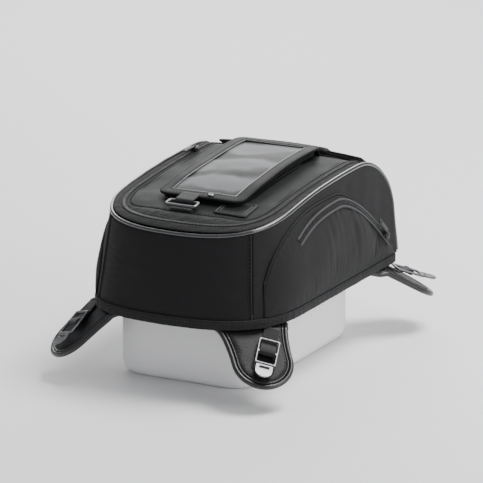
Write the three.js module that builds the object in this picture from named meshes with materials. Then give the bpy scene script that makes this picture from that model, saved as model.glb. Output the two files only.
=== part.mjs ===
// Motorcycle tank bag: a stiffened fabric shell with a zipped lid, a phone pocket on the lid,
// a zipped pocket on each side, a grab handle and four padded wings with steel buckles.
// Millimetres, +Z up, +Y towards the front of the motorcycle, +X to the rider's right.
// The origin is the centre of the base's underside, where the bag sits on the tank.

import * as THREE from 'three';

// ---------------------------------------------------------------- driving dimensions

const REAR_Y = -148;            // middle of the rear face at the base
const FRONT_Y = 149;            // front face
const HALF_WIDTH = 102;         // half width at the base
const CREST_Z = 108.5;          // highest point of the side edge
const CREST_Y = 85;             // where the top edge starts to round over to the front face
const FRONT_DROP = 53.5;        // height of the rounded top front corner
const REAR_FALL = 4.4e-4;       // how fast the top edge falls towards the rear, per mm
const SIDE_LEAN = 1.08e-3;      // inward lean of the side walls, share of width per mm of height
const REAR_LEAN = 1.25e-3;      // forward lean of the rear wall, share of length per mm of height
const CROWN = 2.2;              // extra height of the top along its centre line
const HINGE_Y = 103;            // fold line of the lid

const GAP = 0.35;               // clearance between neighbouring pieces
const WALL = 2.2;               // laminated fabric wall
const WALL_FOOT_Z = 9.4;        // walls start above the bound bottom edge
const MAT_TOP_Z = 2.1;
const SEAM_T = 0.558;           // rear seam, as a parameter of the rear outline curve
const PIPING_RADIUS = 2.0;
const EDGE_INSET = 3.9;         // first panel edge inside the piping

const RIM_INSET = [EDGE_INSET, 9.6];      // fixed strip outside the main zip
const ZIP_INSET = [9.95, 13.0, 16.1];     // outer tape, closure line, inner tape
const LID_RIM_INSET = 16.5;
const LID_SIDE_INSET = 19;                // edge of the smooth lid panel at the sides
const LID_REAR_INSET = 34;                // and at the rear

const FLAP = { left: -45, right: 46, rear: -76, front: 96, corner: 12, lift: 2, depth: 8.2 };
const FLAP_BORDER = 11.5;

const WING = { width: 66, tip: 59, length: 65, thickness: 5.5 };
const WEBBING = { width: 15, thickness: 1.6, sink: 0.6 };  // sink: how far it presses into the pad
const PAD_ROOT = 2.5;           // the pad starts this far from the base seam
const BUCKLE = { width: 21, length: 30, wire: 2.4, hook: 15 };

// ---------------------------------------------------------------- materials

function finish(color, roughness, metalness = 0) {
  return new THREE.MeshStandardMaterial({ color, roughness, metalness });
}
const REAR_FABRIC = finish(0x1f1f21, 0.85);
const SIDE_FABRIC = finish(0x303032, 0.8);
const POCKET_FABRIC = finish(0x343436, 0.8);
const TOP_FABRIC = finish(0x424444, 0.7);
const BINDING = finish(0x26262a, 0.8);
const PIPING = finish(0x2a2a2c, 0.35);
const WEB = finish(0x1a1a1b, 0.85);
const FILM = finish(0x9a9a9a, 0.15);
const STEEL = finish(0xc8c8c8, 0.25, 1);
const MAT = finish(0x232323, 0.95);
const ZIP_TAPE = finish(0x1c1c1d, 0.75);

// ---------------------------------------------------------------- solid builders

const bag = new THREE.Group();

function add(name, geometry, material, parent = bag) {
  const mesh = new THREE.Mesh(geometry, material);
  mesh.name = name;
  parent.add(mesh);
  return mesh;
}

function signedVolume(points, faces) {
  let sum = 0;
  for (const [a, b, c] of faces) {
    sum += points[a].dot(new THREE.Vector3().crossVectors(points[b], points[c]));
  }
  return sum / 6;
}

// A closed mesh from points and triangles, turned so that its faces point out.
function solid(points, faces) {
  const outward = signedVolume(points, faces) > 0;
  const index = faces.flatMap(([a, b, c]) => (outward ? [a, b, c] : [a, c, b]));
  const geometry = new THREE.BufferGeometry().setFromPoints(points);
  geometry.setIndex(index);
  geometry.computeVertexNormals();
  return geometry;
}

// A curved sheet of even thickness: outer(u, v) is its outer face, and it grows inward from there.
function sheet(outer, columns, rows, thickness) {
  const step = 1e-3;
  const at = (i, j) => i * (rows + 1) + j;
  const count = (columns + 1) * (rows + 1);
  const points = [];
  const inner = [];
  for (let i = 0; i <= columns; i++) {
    for (let j = 0; j <= rows; j++) {
      const u = i / columns;
      const v = j / rows;
      const p = outer(u, v);
      const du = outer(Math.min(u + step, 1), v).sub(outer(Math.max(u - step, 0), v));
      const dv = outer(u, Math.min(v + step, 1)).sub(outer(u, Math.max(v - step, 0)));
      const normal = du.cross(dv).normalize();
      points.push(p);
      inner.push(p.clone().addScaledVector(normal, -thickness));
    }
  }
  points.push(...inner);
  const faces = [];
  const quad = (a, b, c, d) => faces.push([a, b, c], [a, c, d]);
  for (let i = 0; i < columns; i++) {
    for (let j = 0; j < rows; j++) {
      quad(at(i, j), at(i + 1, j), at(i + 1, j + 1), at(i, j + 1));
      quad(count + at(i, j), count + at(i, j + 1), count + at(i + 1, j + 1), count + at(i + 1, j));
    }
  }
  const edge = (a, b) => quad(b, a, count + a, count + b);
  for (let i = 0; i < columns; i++) {
    edge(at(i, 0), at(i + 1, 0));
    edge(at(i + 1, rows), at(i, rows));
  }
  for (let j = 0; j < rows; j++) {
    edge(at(columns, j), at(columns, j + 1));
    edge(at(0, j + 1), at(0, j));
  }
  return solid(points, faces);
}

// A section swept through frames {origin, across, up}; a closed sweep joins its last frame to its first.
function sweep(section, frames, closed = false) {
  const sides = section.length;
  const points = frames.flatMap(({ origin, across, up }) => section.map(([a, b]) =>
    origin.clone().addScaledVector(across, a).addScaledVector(up, b)));
  const faces = [];
  const spans = closed ? frames.length : frames.length - 1;
  for (let i = 0; i < spans; i++) {
    const next = (i + 1) % frames.length;
    for (let j = 0; j < sides; j++) {
      const k = (j + 1) % sides;
      faces.push([i * sides + j, i * sides + k, next * sides + k]);
      faces.push([i * sides + j, next * sides + k, next * sides + j]);
    }
  }
  if (!closed) {
    const outline = section.map(([a, b]) => new THREE.Vector2(a, b));
    const last = (frames.length - 1) * sides;
    for (const [a, b, c] of THREE.ShapeUtils.triangulateShape(outline, [])) {
      const flip = THREE.ShapeUtils.isClockWise(outline);
      faces.push(flip ? [a, b, c] : [a, c, b]);
      faces.push(flip ? [last + a, last + c, last + b] : [last + a, last + b, last + c]);
    }
  }
  return solid(points, faces);
}

function roundSection(radius, sides) {
  return Array.from({ length: sides }, (_, i) => {
    const angle = (2 * Math.PI * i) / sides;
    return [radius * Math.cos(angle), radius * Math.sin(angle)];
  });
}

// ---------------------------------------------------------------- shape of the bag

// Right half of the rear outline at the base, from the middle of the rear face (t = 0) to the side (t = 1).
const rearOutline = new THREE.CubicBezierCurve(
  new THREE.Vector2(0, REAR_Y), new THREE.Vector2(70, REAR_Y),
  new THREE.Vector2(101, -126), new THREE.Vector2(101.5, -60));

// Height of the side's top edge along the bag.
function crest(y, inset = 0) {
  if (y <= CREST_Y) return CREST_Z - REAR_FALL * (CREST_Y - y) ** 2 - inset;
  const reach = Math.min((y - CREST_Y) / (FRONT_Y - CREST_Y - inset), 1);
  return CREST_Z - FRONT_DROP + (FRONT_DROP - inset) * Math.sqrt(1 - reach * reach);
}

// A point of the base outline, moved up the leaning walls to height z.
function lean(x, y, z) {
  return new THREE.Vector3(x * (1 - SIDE_LEAN * z), y < 0 ? y * (1 - REAR_LEAN * z) : y, z);
}

// Base outline on the right: x at a given y, ahead of the rear seam.
function outlineX(y) {
  if (y >= -60) return THREE.MathUtils.mapLinear(y, -60, 130, 101.5, HALF_WIDTH);
  let low = 0;
  let high = 1;
  for (let i = 0; i < 30; i++) {
    const t = (low + high) / 2;
    if (rearOutline.getPoint(t).y < y) low = t;
    else high = t;
  }
  return rearOutline.getPoint((low + high) / 2).x;
}

// A point on a side wall, moved out of it by `out`; side is 1 on the right and -1 on the left.
function sidePoint(y, z, out, side) {
  const step = 0.5;
  const slope = (outlineX(y + step) - outlineX(y - step)) / (2 * step);
  const p = lean(outlineX(y), y, z);
  const reach = Math.hypot(1, slope);
  return new THREE.Vector3(side * (p.x + out / reach), p.y - (out * slope) / reach, z);
}

// Top edge of one side in plan and height, from the fold of the lid back to the middle of the rear.
function halfEdge(frontY) {
  const points = [];
  const sideSteps = 14;
  for (let i = 0; i < sideSteps; i++) {
    const y = THREE.MathUtils.lerp(frontY, -60, i / sideSteps);
    points.push(lean(outlineX(y), y, crest(y)));
  }
  const turnSteps = 14;
  for (let i = 0; i < turnSteps; i++) {
    const p = rearOutline.getPoint(1 - i / turnSteps);
    points.push(lean(p.x, p.y, crest(p.y)));
  }
  return points;
}

function mirrored(points) {
  const left = points.map((p) => new THREE.Vector3(-p.x, p.y, p.z)).reverse();
  const middle = lean(0, REAR_Y, crest(REAR_Y));
  return [...points, middle, ...left];
}

const rimEdge = new THREE.CatmullRomCurve3(mirrored(halfEdge(HINGE_Y - GAP)));
rimEdge.arcLengthDivisions = 400;

// Height of the bag's top at a place inside the edge.
function topZ(x, y) {
  return crest(y) + CROWN * (1 - Math.min(Math.abs(x) / 92, 1) ** 2);
}

// A point `inset` mm inside the top edge at share s of the way round it, raised by `lift`.
function rimPoint(s, inset, lift) {
  const p = rimEdge.getPointAt(s);
  const along = rimEdge.getTangentAt(s).setZ(0).normalize();
  const x = p.x + along.y * inset;
  const y = p.y - along.x * inset;
  return new THREE.Vector3(x, y, topZ(x, y) + lift);
}

// How far the smooth lid panel stops inside the edge: more at the rear than at the sides.
function lidInset(s) {
  const facing = Math.abs(rimEdge.getTangentAt(s).x);
  return LID_SIDE_INSET + (LID_REAR_INSET - LID_SIDE_INSET) * facing ** 4;
}

function rimFrame(s, inset, lift) {
  const origin = rimPoint(s, inset, lift);
  const across = rimPoint(s, inset + 1, lift).sub(origin).normalize();
  const up = rimEdge.getTangentAt(s).cross(across).normalize();
  if (up.z < 0) up.negate();
  return { origin, across, up };
}

function rimFrames(steps, inset, lift) {
  return Array.from({ length: steps + 1 }, (_, i) => rimFrame(i / steps, inset, lift));
}


// Closed outline of the base, moved inwards by `inset`.
function baseOutline(inset) {
  const corner = 14;
  const right = new THREE.Path().moveTo(0, REAR_Y);
  right.bezierCurveTo(70, REAR_Y, 101, -126, 101.5, -60);
  right.lineTo(HALF_WIDTH, FRONT_Y - corner);
  right.quadraticCurveTo(HALF_WIDTH, FRONT_Y, HALF_WIDTH - corner, FRONT_Y);
  const half = right.getPoints(14);
  const left = half.slice(1).reverse().map((p) => new THREE.Vector2(-p.x, p.y));
  const loop = [...half, ...left];
  return loop.map((p, i) => {
    const before = loop[(i + loop.length - 1) % loop.length];
    const along = loop[(i + 1) % loop.length].clone().sub(before).normalize();
    return new THREE.Vector2(p.x - along.y * inset, p.y + along.x * inset);
  });
}

// The top's front part: across (-1 to 1) and down (0 at the fold of the lid, 1 at the base).
function frontPoint(across, down, lift) {
  const turn = 0.7;
  const start = Math.asin((HINGE_Y + GAP - CREST_Y) / (FRONT_Y - CREST_Y));
  const angle = THREE.MathUtils.lerp(start, Math.PI / 2, Math.min(down / turn, 1));
  const drop = Math.max(down - turn, 0) / (1 - turn);
  const y = CREST_Y + (FRONT_Y - CREST_Y) * Math.sin(angle);
  const turnZ = CREST_Z - FRONT_DROP + FRONT_DROP * Math.cos(angle);
  const z = THREE.MathUtils.lerp(turnZ, WALL_FOOT_Z, drop);
  const half = lean(outlineX(y), y, z).x - EDGE_INSET;
  const crown = CROWN * (1 - across * across) * Math.cos(angle);
  const up = Math.cos(angle);
  return new THREE.Vector3(across * half, y + lift * Math.sin(angle), z + crown + lift * up);
}

// ---------------------------------------------------------------- base and walls

function slab(outline, bottom, top, hole) {
  const shape = new THREE.Shape(outline);
  if (hole) shape.holes.push(new THREE.Path(hole));
  const geometry = new THREE.ExtrudeGeometry(shape, { depth: top - bottom, bevelEnabled: false });
  return geometry.translate(0, 0, bottom);
}

const BINDING_OUT = 1;
const BINDING_IN = 2.2;
const BOARD_TOP_Z = 5;
const INNER = BINDING_IN + GAP;
add('non_slip_mat', slab(baseOutline(INNER), 0, MAT_TOP_Z), MAT);
add('base_board', slab(baseOutline(INNER), MAT_TOP_Z + GAP, BOARD_TOP_Z), SIDE_FABRIC);
add('base_binding', slab(baseOutline(-BINDING_OUT), GAP, WALL_FOOT_Z - GAP, baseOutline(BINDING_IN)), BINDING);

const WALL_TOP_INSET = 2.6;
const SEAM_GAP_T = 0.006;
add('rear_panel', sheet((u, v) => {
  const t = THREE.MathUtils.lerp(-1, 1, u) * (SEAM_T - SEAM_GAP_T);
  const p = rearOutline.getPoint(Math.abs(t));
  const z = THREE.MathUtils.lerp(WALL_FOOT_Z, crest(p.y) - WALL_TOP_INSET, v);
  return lean(Math.sign(t) * p.x, p.y, z);
}, 20, 4, WALL), REAR_FABRIC);

const SIDES = [['right', 1], ['left', -1]];
const seamY = rearOutline.getPoint(SEAM_T + SEAM_GAP_T).y;
for (const [label, side] of SIDES) {
  add(`side_panel_${label}`, sheet((u, v) => {
    const y = THREE.MathUtils.lerp(seamY, FRONT_Y - WALL_TOP_INSET, u);
    const z = THREE.MathUtils.lerp(WALL_FOOT_Z, crest(y, WALL_TOP_INSET), v);
    return sidePoint(y, z, 0, side);
  }, 22, 3, side * WALL), SIDE_FABRIC);
}
add('front_panel', sheet((u, v) => frontPoint(2 * u - 1, v, 0), 8, 14, 1.8), TOP_FABRIC);

// ---------------------------------------------------------------- rim, piping and main zip

const PIPING_INSET = 1.5;
const PIPING_POSTS_Z = [10.5, 25, 40];    // points up the front corner
function pipingHalf() {
  const points = [];
  const faceTop = CREST_Z - FRONT_DROP;
  for (const z of PIPING_POSTS_Z) {
    points.push(lean(HALF_WIDTH - PIPING_INSET, FRONT_Y, z));
  }
  const cornerSteps = 8;
  for (let i = 0; i < cornerSteps; i++) {
    const angle = (Math.PI / 2) * (1 - i / cornerSteps);
    const y = CREST_Y + (FRONT_Y - CREST_Y) * Math.sin(angle);
    const z = faceTop + FRONT_DROP * Math.cos(angle);
    points.push(lean(outlineX(y) - PIPING_INSET, y, z));
  }
  for (const p of halfEdge(CREST_Y)) {
    const reach = Math.hypot(p.x, p.y + 60);
    const turned = p.y < -60;
    const pull = turned ? new THREE.Vector3(-p.x / reach, -(p.y + 60) / reach, 0) : new THREE.Vector3(-1, 0, 0);
    points.push(p.addScaledVector(pull, PIPING_INSET));
  }
  return points;
}
function pipingCurve() {
  const right = pipingHalf();
  const left = right.map((p) => new THREE.Vector3(-p.x, p.y, p.z)).reverse();
  const middle = lean(0, REAR_Y, crest(REAR_Y));
  middle.y += PIPING_INSET;
  return new THREE.CatmullRomCurve3([...right, middle, ...left]);
}
function tube(curve, steps, radius, sides) {
  const section = new THREE.Shape(roundSection(radius, sides).map(([a, b]) => new THREE.Vector2(a, b)));
  return new THREE.ExtrudeGeometry(section, { steps, extrudePath: curve, bevelEnabled: false });
}
add('top_piping', tube(pipingCurve(), 84, PIPING_RADIUS, 8), PIPING);

const RIM_STEPS = 44;
add('top_rim', sheet((u, v) => rimPoint(u, THREE.MathUtils.lerp(...RIM_INSET, v), 0), RIM_STEPS, 1, -1.6), TOP_FABRIC);

const TAPE_UNDER = -1;
const TEETH_TOP = 0.9;
const [zipOuter, zipLine, zipInner] = ZIP_INSET;
const halfWidth = zipLine - zipOuter - GAP / 2;
const fixedHalf = [[0, TAPE_UNDER], [halfWidth, TAPE_UNDER], [halfWidth, TEETH_TOP],
  [halfWidth - 1.3, TEETH_TOP], [halfWidth - 1.5, 0.2], [0, 0.2]];
add('main_zip_fixed_half', sweep(fixedHalf, rimFrames(RIM_STEPS, zipOuter, 0)), ZIP_TAPE);

// ---------------------------------------------------------------- lid

const lidHalf = fixedHalf.map(([a, b]) => [zipInner - zipOuter - a, b]).reverse();
add('main_zip_lid_half', sweep(lidHalf, rimFrames(RIM_STEPS, zipOuter, 0)), ZIP_TAPE);

const RIM_PUFF = 1.5;
const LID_SEAM = 0.9;           // gap between the lid rim and the smooth panel
add('lid_rim', sheet((u, v) => {
  const inner = lidInset(u) - LID_SEAM;
  const puff = (RIM_PUFF * (inner - LID_RIM_INSET)) / (LID_REAR_INSET - LID_RIM_INSET);
  return rimPoint(u, THREE.MathUtils.lerp(LID_RIM_INSET, inner, v), puff * Math.sin(Math.PI * v));
}, RIM_STEPS, 2, -1.8), TOP_FABRIC);

const turnShare = 0.27;
add('lid_panel', sheet((u, v) => {
  const s = THREE.MathUtils.lerp(turnShare, 1 - turnShare, u);
  const start = rimPoint(s, lidInset(s), 0);
  const widest = rimPoint(turnShare, lidInset(turnShare), 0).x;
  const frontHalf = rimPoint(0, lidInset(0), 0).x;
  const x = THREE.MathUtils.lerp(start.x, (start.x / widest) * frontHalf, v);
  const y = THREE.MathUtils.lerp(start.y, HINGE_Y - GAP, v);
  return new THREE.Vector3(x, y, topZ(x, y));
}, 16, 9, -2.4), TOP_FABRIC);

// A flat piece with rounded corners that follows the top of the bag.
function topSheet({ left, right, rear, front, corner }, lift, thickness, rows) {
  return sheet((u, v) => {
    const y = THREE.MathUtils.lerp(rear, front, v);
    const end = Math.min(y - rear, front - y, corner);
    const tuck = corner - Math.sqrt(Math.max(corner ** 2 - (corner - end) ** 2, 0));
    const x = THREE.MathUtils.lerp(left + tuck, right - tuck, u);
    return new THREE.Vector3(x, y, topZ(x, y) + lift);
  }, 4, rows, thickness);
}

const PATCH = { left: 23, right: 58, rear: -91, front: -61, corner: 3 };
add('lid_patch', topSheet(PATCH, 1 + GAP, 1, 4), TOP_FABRIC);
const CATCH = { left: -20, right: 2, rear: -96, front: -78, corner: 1 };
add('flap_catch_strap', topSheet(CATCH, 1.6 + GAP, 1.6, 4), WEB);

// ---------------------------------------------------------------- phone flap

function loopFrames({ left, right, rear, front, corner }, lift) {
  const frames = [];
  const push = (x, y, angle) => {
    const inX = -Math.cos(angle);
    const inY = -Math.sin(angle);
    const climb = (topZ(x + inX * FLAP_BORDER, y + inY * FLAP_BORDER) - topZ(x, y)) / FLAP_BORDER;
    const origin = new THREE.Vector3(x, y, topZ(x, y) + lift);
    frames.push({ origin, across: new THREE.Vector3(inX, inY, climb), up: new THREE.Vector3(0, 0, 1) });
  };
  const corners = [[right, front], [left, front], [left, rear], [right, rear]];
  const arcSteps = 4;
  corners.forEach(([x, y], quarter) => {
    const centreX = x + (x === right ? -corner : corner);
    const centreY = y + (y === front ? -corner : corner);
    for (let i = 0; i <= arcSteps; i++) {
      const angle = (Math.PI / 2) * (quarter + i / arcSteps);
      push(centreX + corner * Math.cos(angle), centreY + corner * Math.sin(angle), angle);
    }
    const [nextX, nextY] = corners[(quarter + 1) % 4];
    const turned = (Math.PI / 2) * (quarter + 1);
    const run = Math.hypot(nextX - x, nextY - y);
    const sideSteps = Math.ceil(run / 17);
    for (let i = 1; i < sideSteps; i++) {
      const share = THREE.MathUtils.lerp(corner, run - corner, i / sideSteps) / run;
      push(THREE.MathUtils.lerp(x, nextX, share), THREE.MathUtils.lerp(y, nextY, share), turned);
    }
  });
  return frames;
}

const SHEET_THICKNESS = 1.15;
const frameFoot = SHEET_THICKNESS + GAP;
const frameTop = FLAP.depth;
const FRAME_SECTION = [[0, frameFoot], [0, frameTop - 1.4], [1.6, frameTop], [FLAP_BORDER, frameTop],
  [FLAP_BORDER, frameTop - 1], [2.2, frameTop - 1], [1.3, frameTop - 1.9], [1.3, frameFoot]];
add('flap_frame', sweep(FRAME_SECTION, loopFrames(FLAP, FLAP.lift), true), TOP_FABRIC);
const PHONE_SLOT = 34;          // length of the back left open at the front, where the phone goes in
const backPlan = { ...FLAP, front: FLAP.front - PHONE_SLOT };
add('flap_back', topSheet(backPlan, FLAP.lift + SHEET_THICKNESS, SHEET_THICKNESS, 12), TOP_FABRIC);
const PANE_INSET = 6;
const PANE = {
  left: FLAP.left + PANE_INSET, right: FLAP.right - PANE_INSET,
  rear: FLAP.rear + PANE_INSET, front: FLAP.front - PANE_INSET, corner: 5,
};
add('flap_window', topSheet(PANE, FLAP.lift + frameTop - 1 - GAP, 0.7, 10), FILM);

const RIVET = { x: 11, y: -70.5, radius: 3.3, height: 1.5 };
const rivet = new THREE.CylinderGeometry(RIVET.radius * 0.8, RIVET.radius, RIVET.height, 16);
rivet.rotateX(Math.PI / 2);
const rivetTop = topZ(RIVET.x, RIVET.y) + FLAP.lift + frameTop;
add('flap_rivet', rivet, STEEL).position.set(RIVET.x, RIVET.y, rivetTop + 0.8 + RIVET.height / 2);

const TAB = { left: -18, right: 1, rear: -84, front: FLAP.rear - GAP, corner: 0.5 };
add('flap_tab', topSheet(TAB, FLAP.lift + 4, 1.6, 2), WEB);
const RING = { left: -24, right: 7, rear: -96, front: -86, corner: 3 };
const RING_WIRE = 1.4;
add('flap_ring', sweep(roundSection(RING_WIRE, 8), loopFrames(RING, FLAP.lift + 3.4), true), STEEL);

// ---------------------------------------------------------------- zip sliders

const SLIDER = { width: 8.5, length: 11, height: 3 };
const PULLER = { width: 6, length: 24, thickness: 1.4 };

// A slider with its puller lying along it; `at` is on the teeth, `up` points away from the bag.
function zipSlider(name, at, along, up) {
  const group = new THREE.Group();
  group.position.copy(at);
  const across = along.clone().cross(up).normalize();
  group.quaternion.setFromRotationMatrix(new THREE.Matrix4().makeBasis(across, along, up));
  bag.add(group);
  const halfWide = SLIDER.width / 2;
  const halfLong = SLIDER.length / 2;
  const plan = new THREE.Shape([[-halfWide, halfLong], [-halfWide, 0], [-halfWide * 0.6, -halfLong],
    [halfWide * 0.6, -halfLong], [halfWide, 0], [halfWide, halfLong]].map(([x, y]) => new THREE.Vector2(x, y)));
  const body = new THREE.ExtrudeGeometry(plan, { depth: SLIDER.height, bevelEnabled: false });
  add(`${name}_slider`, body, STEEL, group);
  const tab = new THREE.Shape();
  const reach = PULLER.length - PULLER.width / 2;
  tab.moveTo(-PULLER.width / 2, 0).lineTo(PULLER.width / 2, 0).lineTo(PULLER.width / 2, reach);
  tab.absarc(0, reach, PULLER.width / 2, 0, Math.PI);
  const hole = new THREE.Path().absellipse(0, reach, 1.5, 1.5, 0, 2 * Math.PI, true);
  tab.holes.push(hole);
  const strip = new THREE.ExtrudeGeometry(tab, { depth: PULLER.thickness, bevelEnabled: false, curveSegments: 5 });
  add(`${name}_puller`, strip, STEEL, group).position.z = SLIDER.height + GAP;
}

const MAIN_SLIDER_SHARE = 0.93;
const mainFrame = rimFrame(MAIN_SLIDER_SHARE, zipLine, 0);
const mainSeat = mainFrame.origin.addScaledVector(mainFrame.up, TEETH_TOP + 0.6);
zipSlider('main_zip', mainSeat, mainFrame.across.cross(mainFrame.up).normalize(), mainFrame.up);

// ---------------------------------------------------------------- side pockets

const POCKET = { foot: 9.8, peak: 94, peakY: 25, rearReach: 141, frontReach: 116, skin: 1.5, puff: 7 };
const POCKET_REAR_Y = -113.5;
const POCKET_FRONT_Y = 138;

// Height of the pocket's arched top edge.
function archZ(y) {
  const rise = POCKET.peak - POCKET.foot;
  const behind = y < POCKET.peakY;
  const share = Math.abs(y - POCKET.peakY) / (behind ? POCKET.rearReach : POCKET.frontReach);
  return POCKET.foot + rise * (behind ? (1 - share ** 3.5) ** 0.4 : 1 - share ** 1.6);
}

function pocketPoint(y, z, lift, side) {
  const u = THREE.MathUtils.clamp((y - POCKET_REAR_Y) / (POCKET_FRONT_Y - POCKET_REAR_Y), 0, 1);
  const v = THREE.MathUtils.clamp((z - POCKET.foot) / (archZ(y) - POCKET.foot), 0, 1);
  const bulge = (Math.sin(Math.PI * u) * Math.sin(Math.PI * v)) ** 0.6;
  return sidePoint(y, z, POCKET.skin + GAP + 0.1 + POCKET.puff * bulge + lift, side);
}

// Height of the pocket's zip, which leaves the arch towards the rear.
function pocketZipZ(y) {
  return archZ(y) - 7 - 8 * (Math.max(POCKET.peakY - y, 0) / 95) ** 2;
}

function pocketFrame(y, side) {
  const step = 1;
  const origin = pocketPoint(y, pocketZipZ(y), 0, side);
  const ahead = pocketPoint(y + step, pocketZipZ(y + step), 0, side);
  const along = ahead.sub(origin).normalize();
  const higher = pocketPoint(y, pocketZipZ(y) + step, 0, side).sub(origin);
  const up = along.clone().cross(higher).multiplyScalar(side).normalize();
  return { origin: origin.addScaledVector(up, 0.7), along, across: up.clone().cross(along).normalize(), up };
}

const POCKET_TAPE = [[-4.5, 0], [4.5, 0], [4.5, 0.9], [1.5, 1.1], [1.1, 1.9], [-1.1, 1.9], [-1.5, 1.1], [-4.5, 0.9]];
const POCKET_ZIP = { rear: -68, front: 120, steps: 24, sliderY: 110 };
for (const [label, side] of SIDES) {
  add(`pocket_panel_${label}`, sheet((u, v) => {
    const y = THREE.MathUtils.lerp(POCKET_REAR_Y, POCKET_FRONT_Y, u);
    return pocketPoint(y, THREE.MathUtils.lerp(POCKET.foot, archZ(y), v), 0, side);
  }, 20, 6, side * POCKET.skin), POCKET_FABRIC);
  const frames = Array.from({ length: POCKET_ZIP.steps + 1 }, (_, i) =>
    pocketFrame(THREE.MathUtils.lerp(POCKET_ZIP.rear, POCKET_ZIP.front, i / POCKET_ZIP.steps), side));
  add(`pocket_zip_${label}`, sweep(POCKET_TAPE, frames), ZIP_TAPE);
  const { origin, along, up } = pocketFrame(POCKET_ZIP.sliderY, side);
  zipSlider(`pocket_zip_${label}`, origin.addScaledVector(up, 2.3), along.negate(), up);
}

// ---------------------------------------------------------------- grab handle

const HANDLE = { y: 121, half: 78, width: 18, lift: 2.9, rise: 2.5, strap: 1.8, gripHalf: 40, gripHeight: 2.4 };
function handleFrames(half, steps) {
  const fall = crest(HANDLE.y + 1) - crest(HANDLE.y);
  const across = new THREE.Vector3(0, 1, fall).normalize();
  const up = new THREE.Vector3(0, -fall, 1).normalize();
  return Array.from({ length: steps + 1 }, (_, i) => {
    const x = THREE.MathUtils.lerp(-half, half, i / steps);
    const arch = Math.cos((Math.PI / 2) * (x / HANDLE.half)) ** 0.8;
    const z = topZ(x, HANDLE.y) + HANDLE.lift + HANDLE.rise * arch;
    return { origin: new THREE.Vector3(x, HANDLE.y, z), across, up };
  });
}
const strapHalf = HANDLE.width / 2;
const handleSection = [[-strapHalf, 0], [strapHalf, 0], [strapHalf, HANDLE.strap], [-strapHalf, HANDLE.strap]];
add('handle_strap', sweep(handleSection, handleFrames(HANDLE.half - 0.5, 24)), WEB);
const gripFoot = HANDLE.strap + GAP;
const gripHalfWide = 9.5;
const gripTop = gripFoot + HANDLE.gripHeight;
const gripSection = [[-gripHalfWide, gripFoot], [gripHalfWide, gripFoot], [gripHalfWide - 2, gripTop],
  [2 - gripHalfWide, gripTop]];
add('handle_grip', sweep(gripSection, handleFrames(HANDLE.gripHalf, 12)), WEB);
for (const [label, side] of SIDES) {
  add(`handle_anchor_${label}`, sheet((u, v) => {
    const across = side * THREE.MathUtils.lerp(0.76, 0.99, side > 0 ? u : 1 - u);
    return frontPoint(across, THREE.MathUtils.lerp(0.08, 0.3, v), 1.75);
  }, 3, 4, 1.2), WEB);
}

// ---------------------------------------------------------------- wings and buckles

const BUCKLE_START = 17;        // from the wing's root to the buckle's first bar
const LAY_SHARE = 0.62;         // a skewed strap crosses the wing's middle at this share of its length

function ladderPlan() {
  const halfWide = BUCKLE.width / 2;
  const rect = (x0, y0, x1, y1) => [[x0, y0], [x1, y0], [x1, y1], [x0, y1]].map(([x, y]) => new THREE.Vector2(x, y));
  const plan = new THREE.Shape(rect(-halfWide, 0, halfWide, BUCKLE.length));
  const slotHalf = halfWide - BUCKLE.wire;
  const middle = BUCKLE.length * 0.52;
  for (const [from, to] of [[BUCKLE.wire, middle - BUCKLE.wire / 2], [middle + BUCKLE.wire / 2, BUCKLE.length - BUCKLE.wire]]) {
    plan.holes.push(new THREE.Path(rect(-slotHalf, from, slotHalf, to).reverse()));
  }
  return plan;
}

function hookPlan() {
  const half = BUCKLE.width / 2 - 2;
  const plan = new THREE.Shape().moveTo(-half, 0).lineTo(half, 0).lineTo(half, BUCKLE.hook - half);
  plan.absarc(0, BUCKLE.hook - half, half, 0, Math.PI);
  return plan;
}

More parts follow.
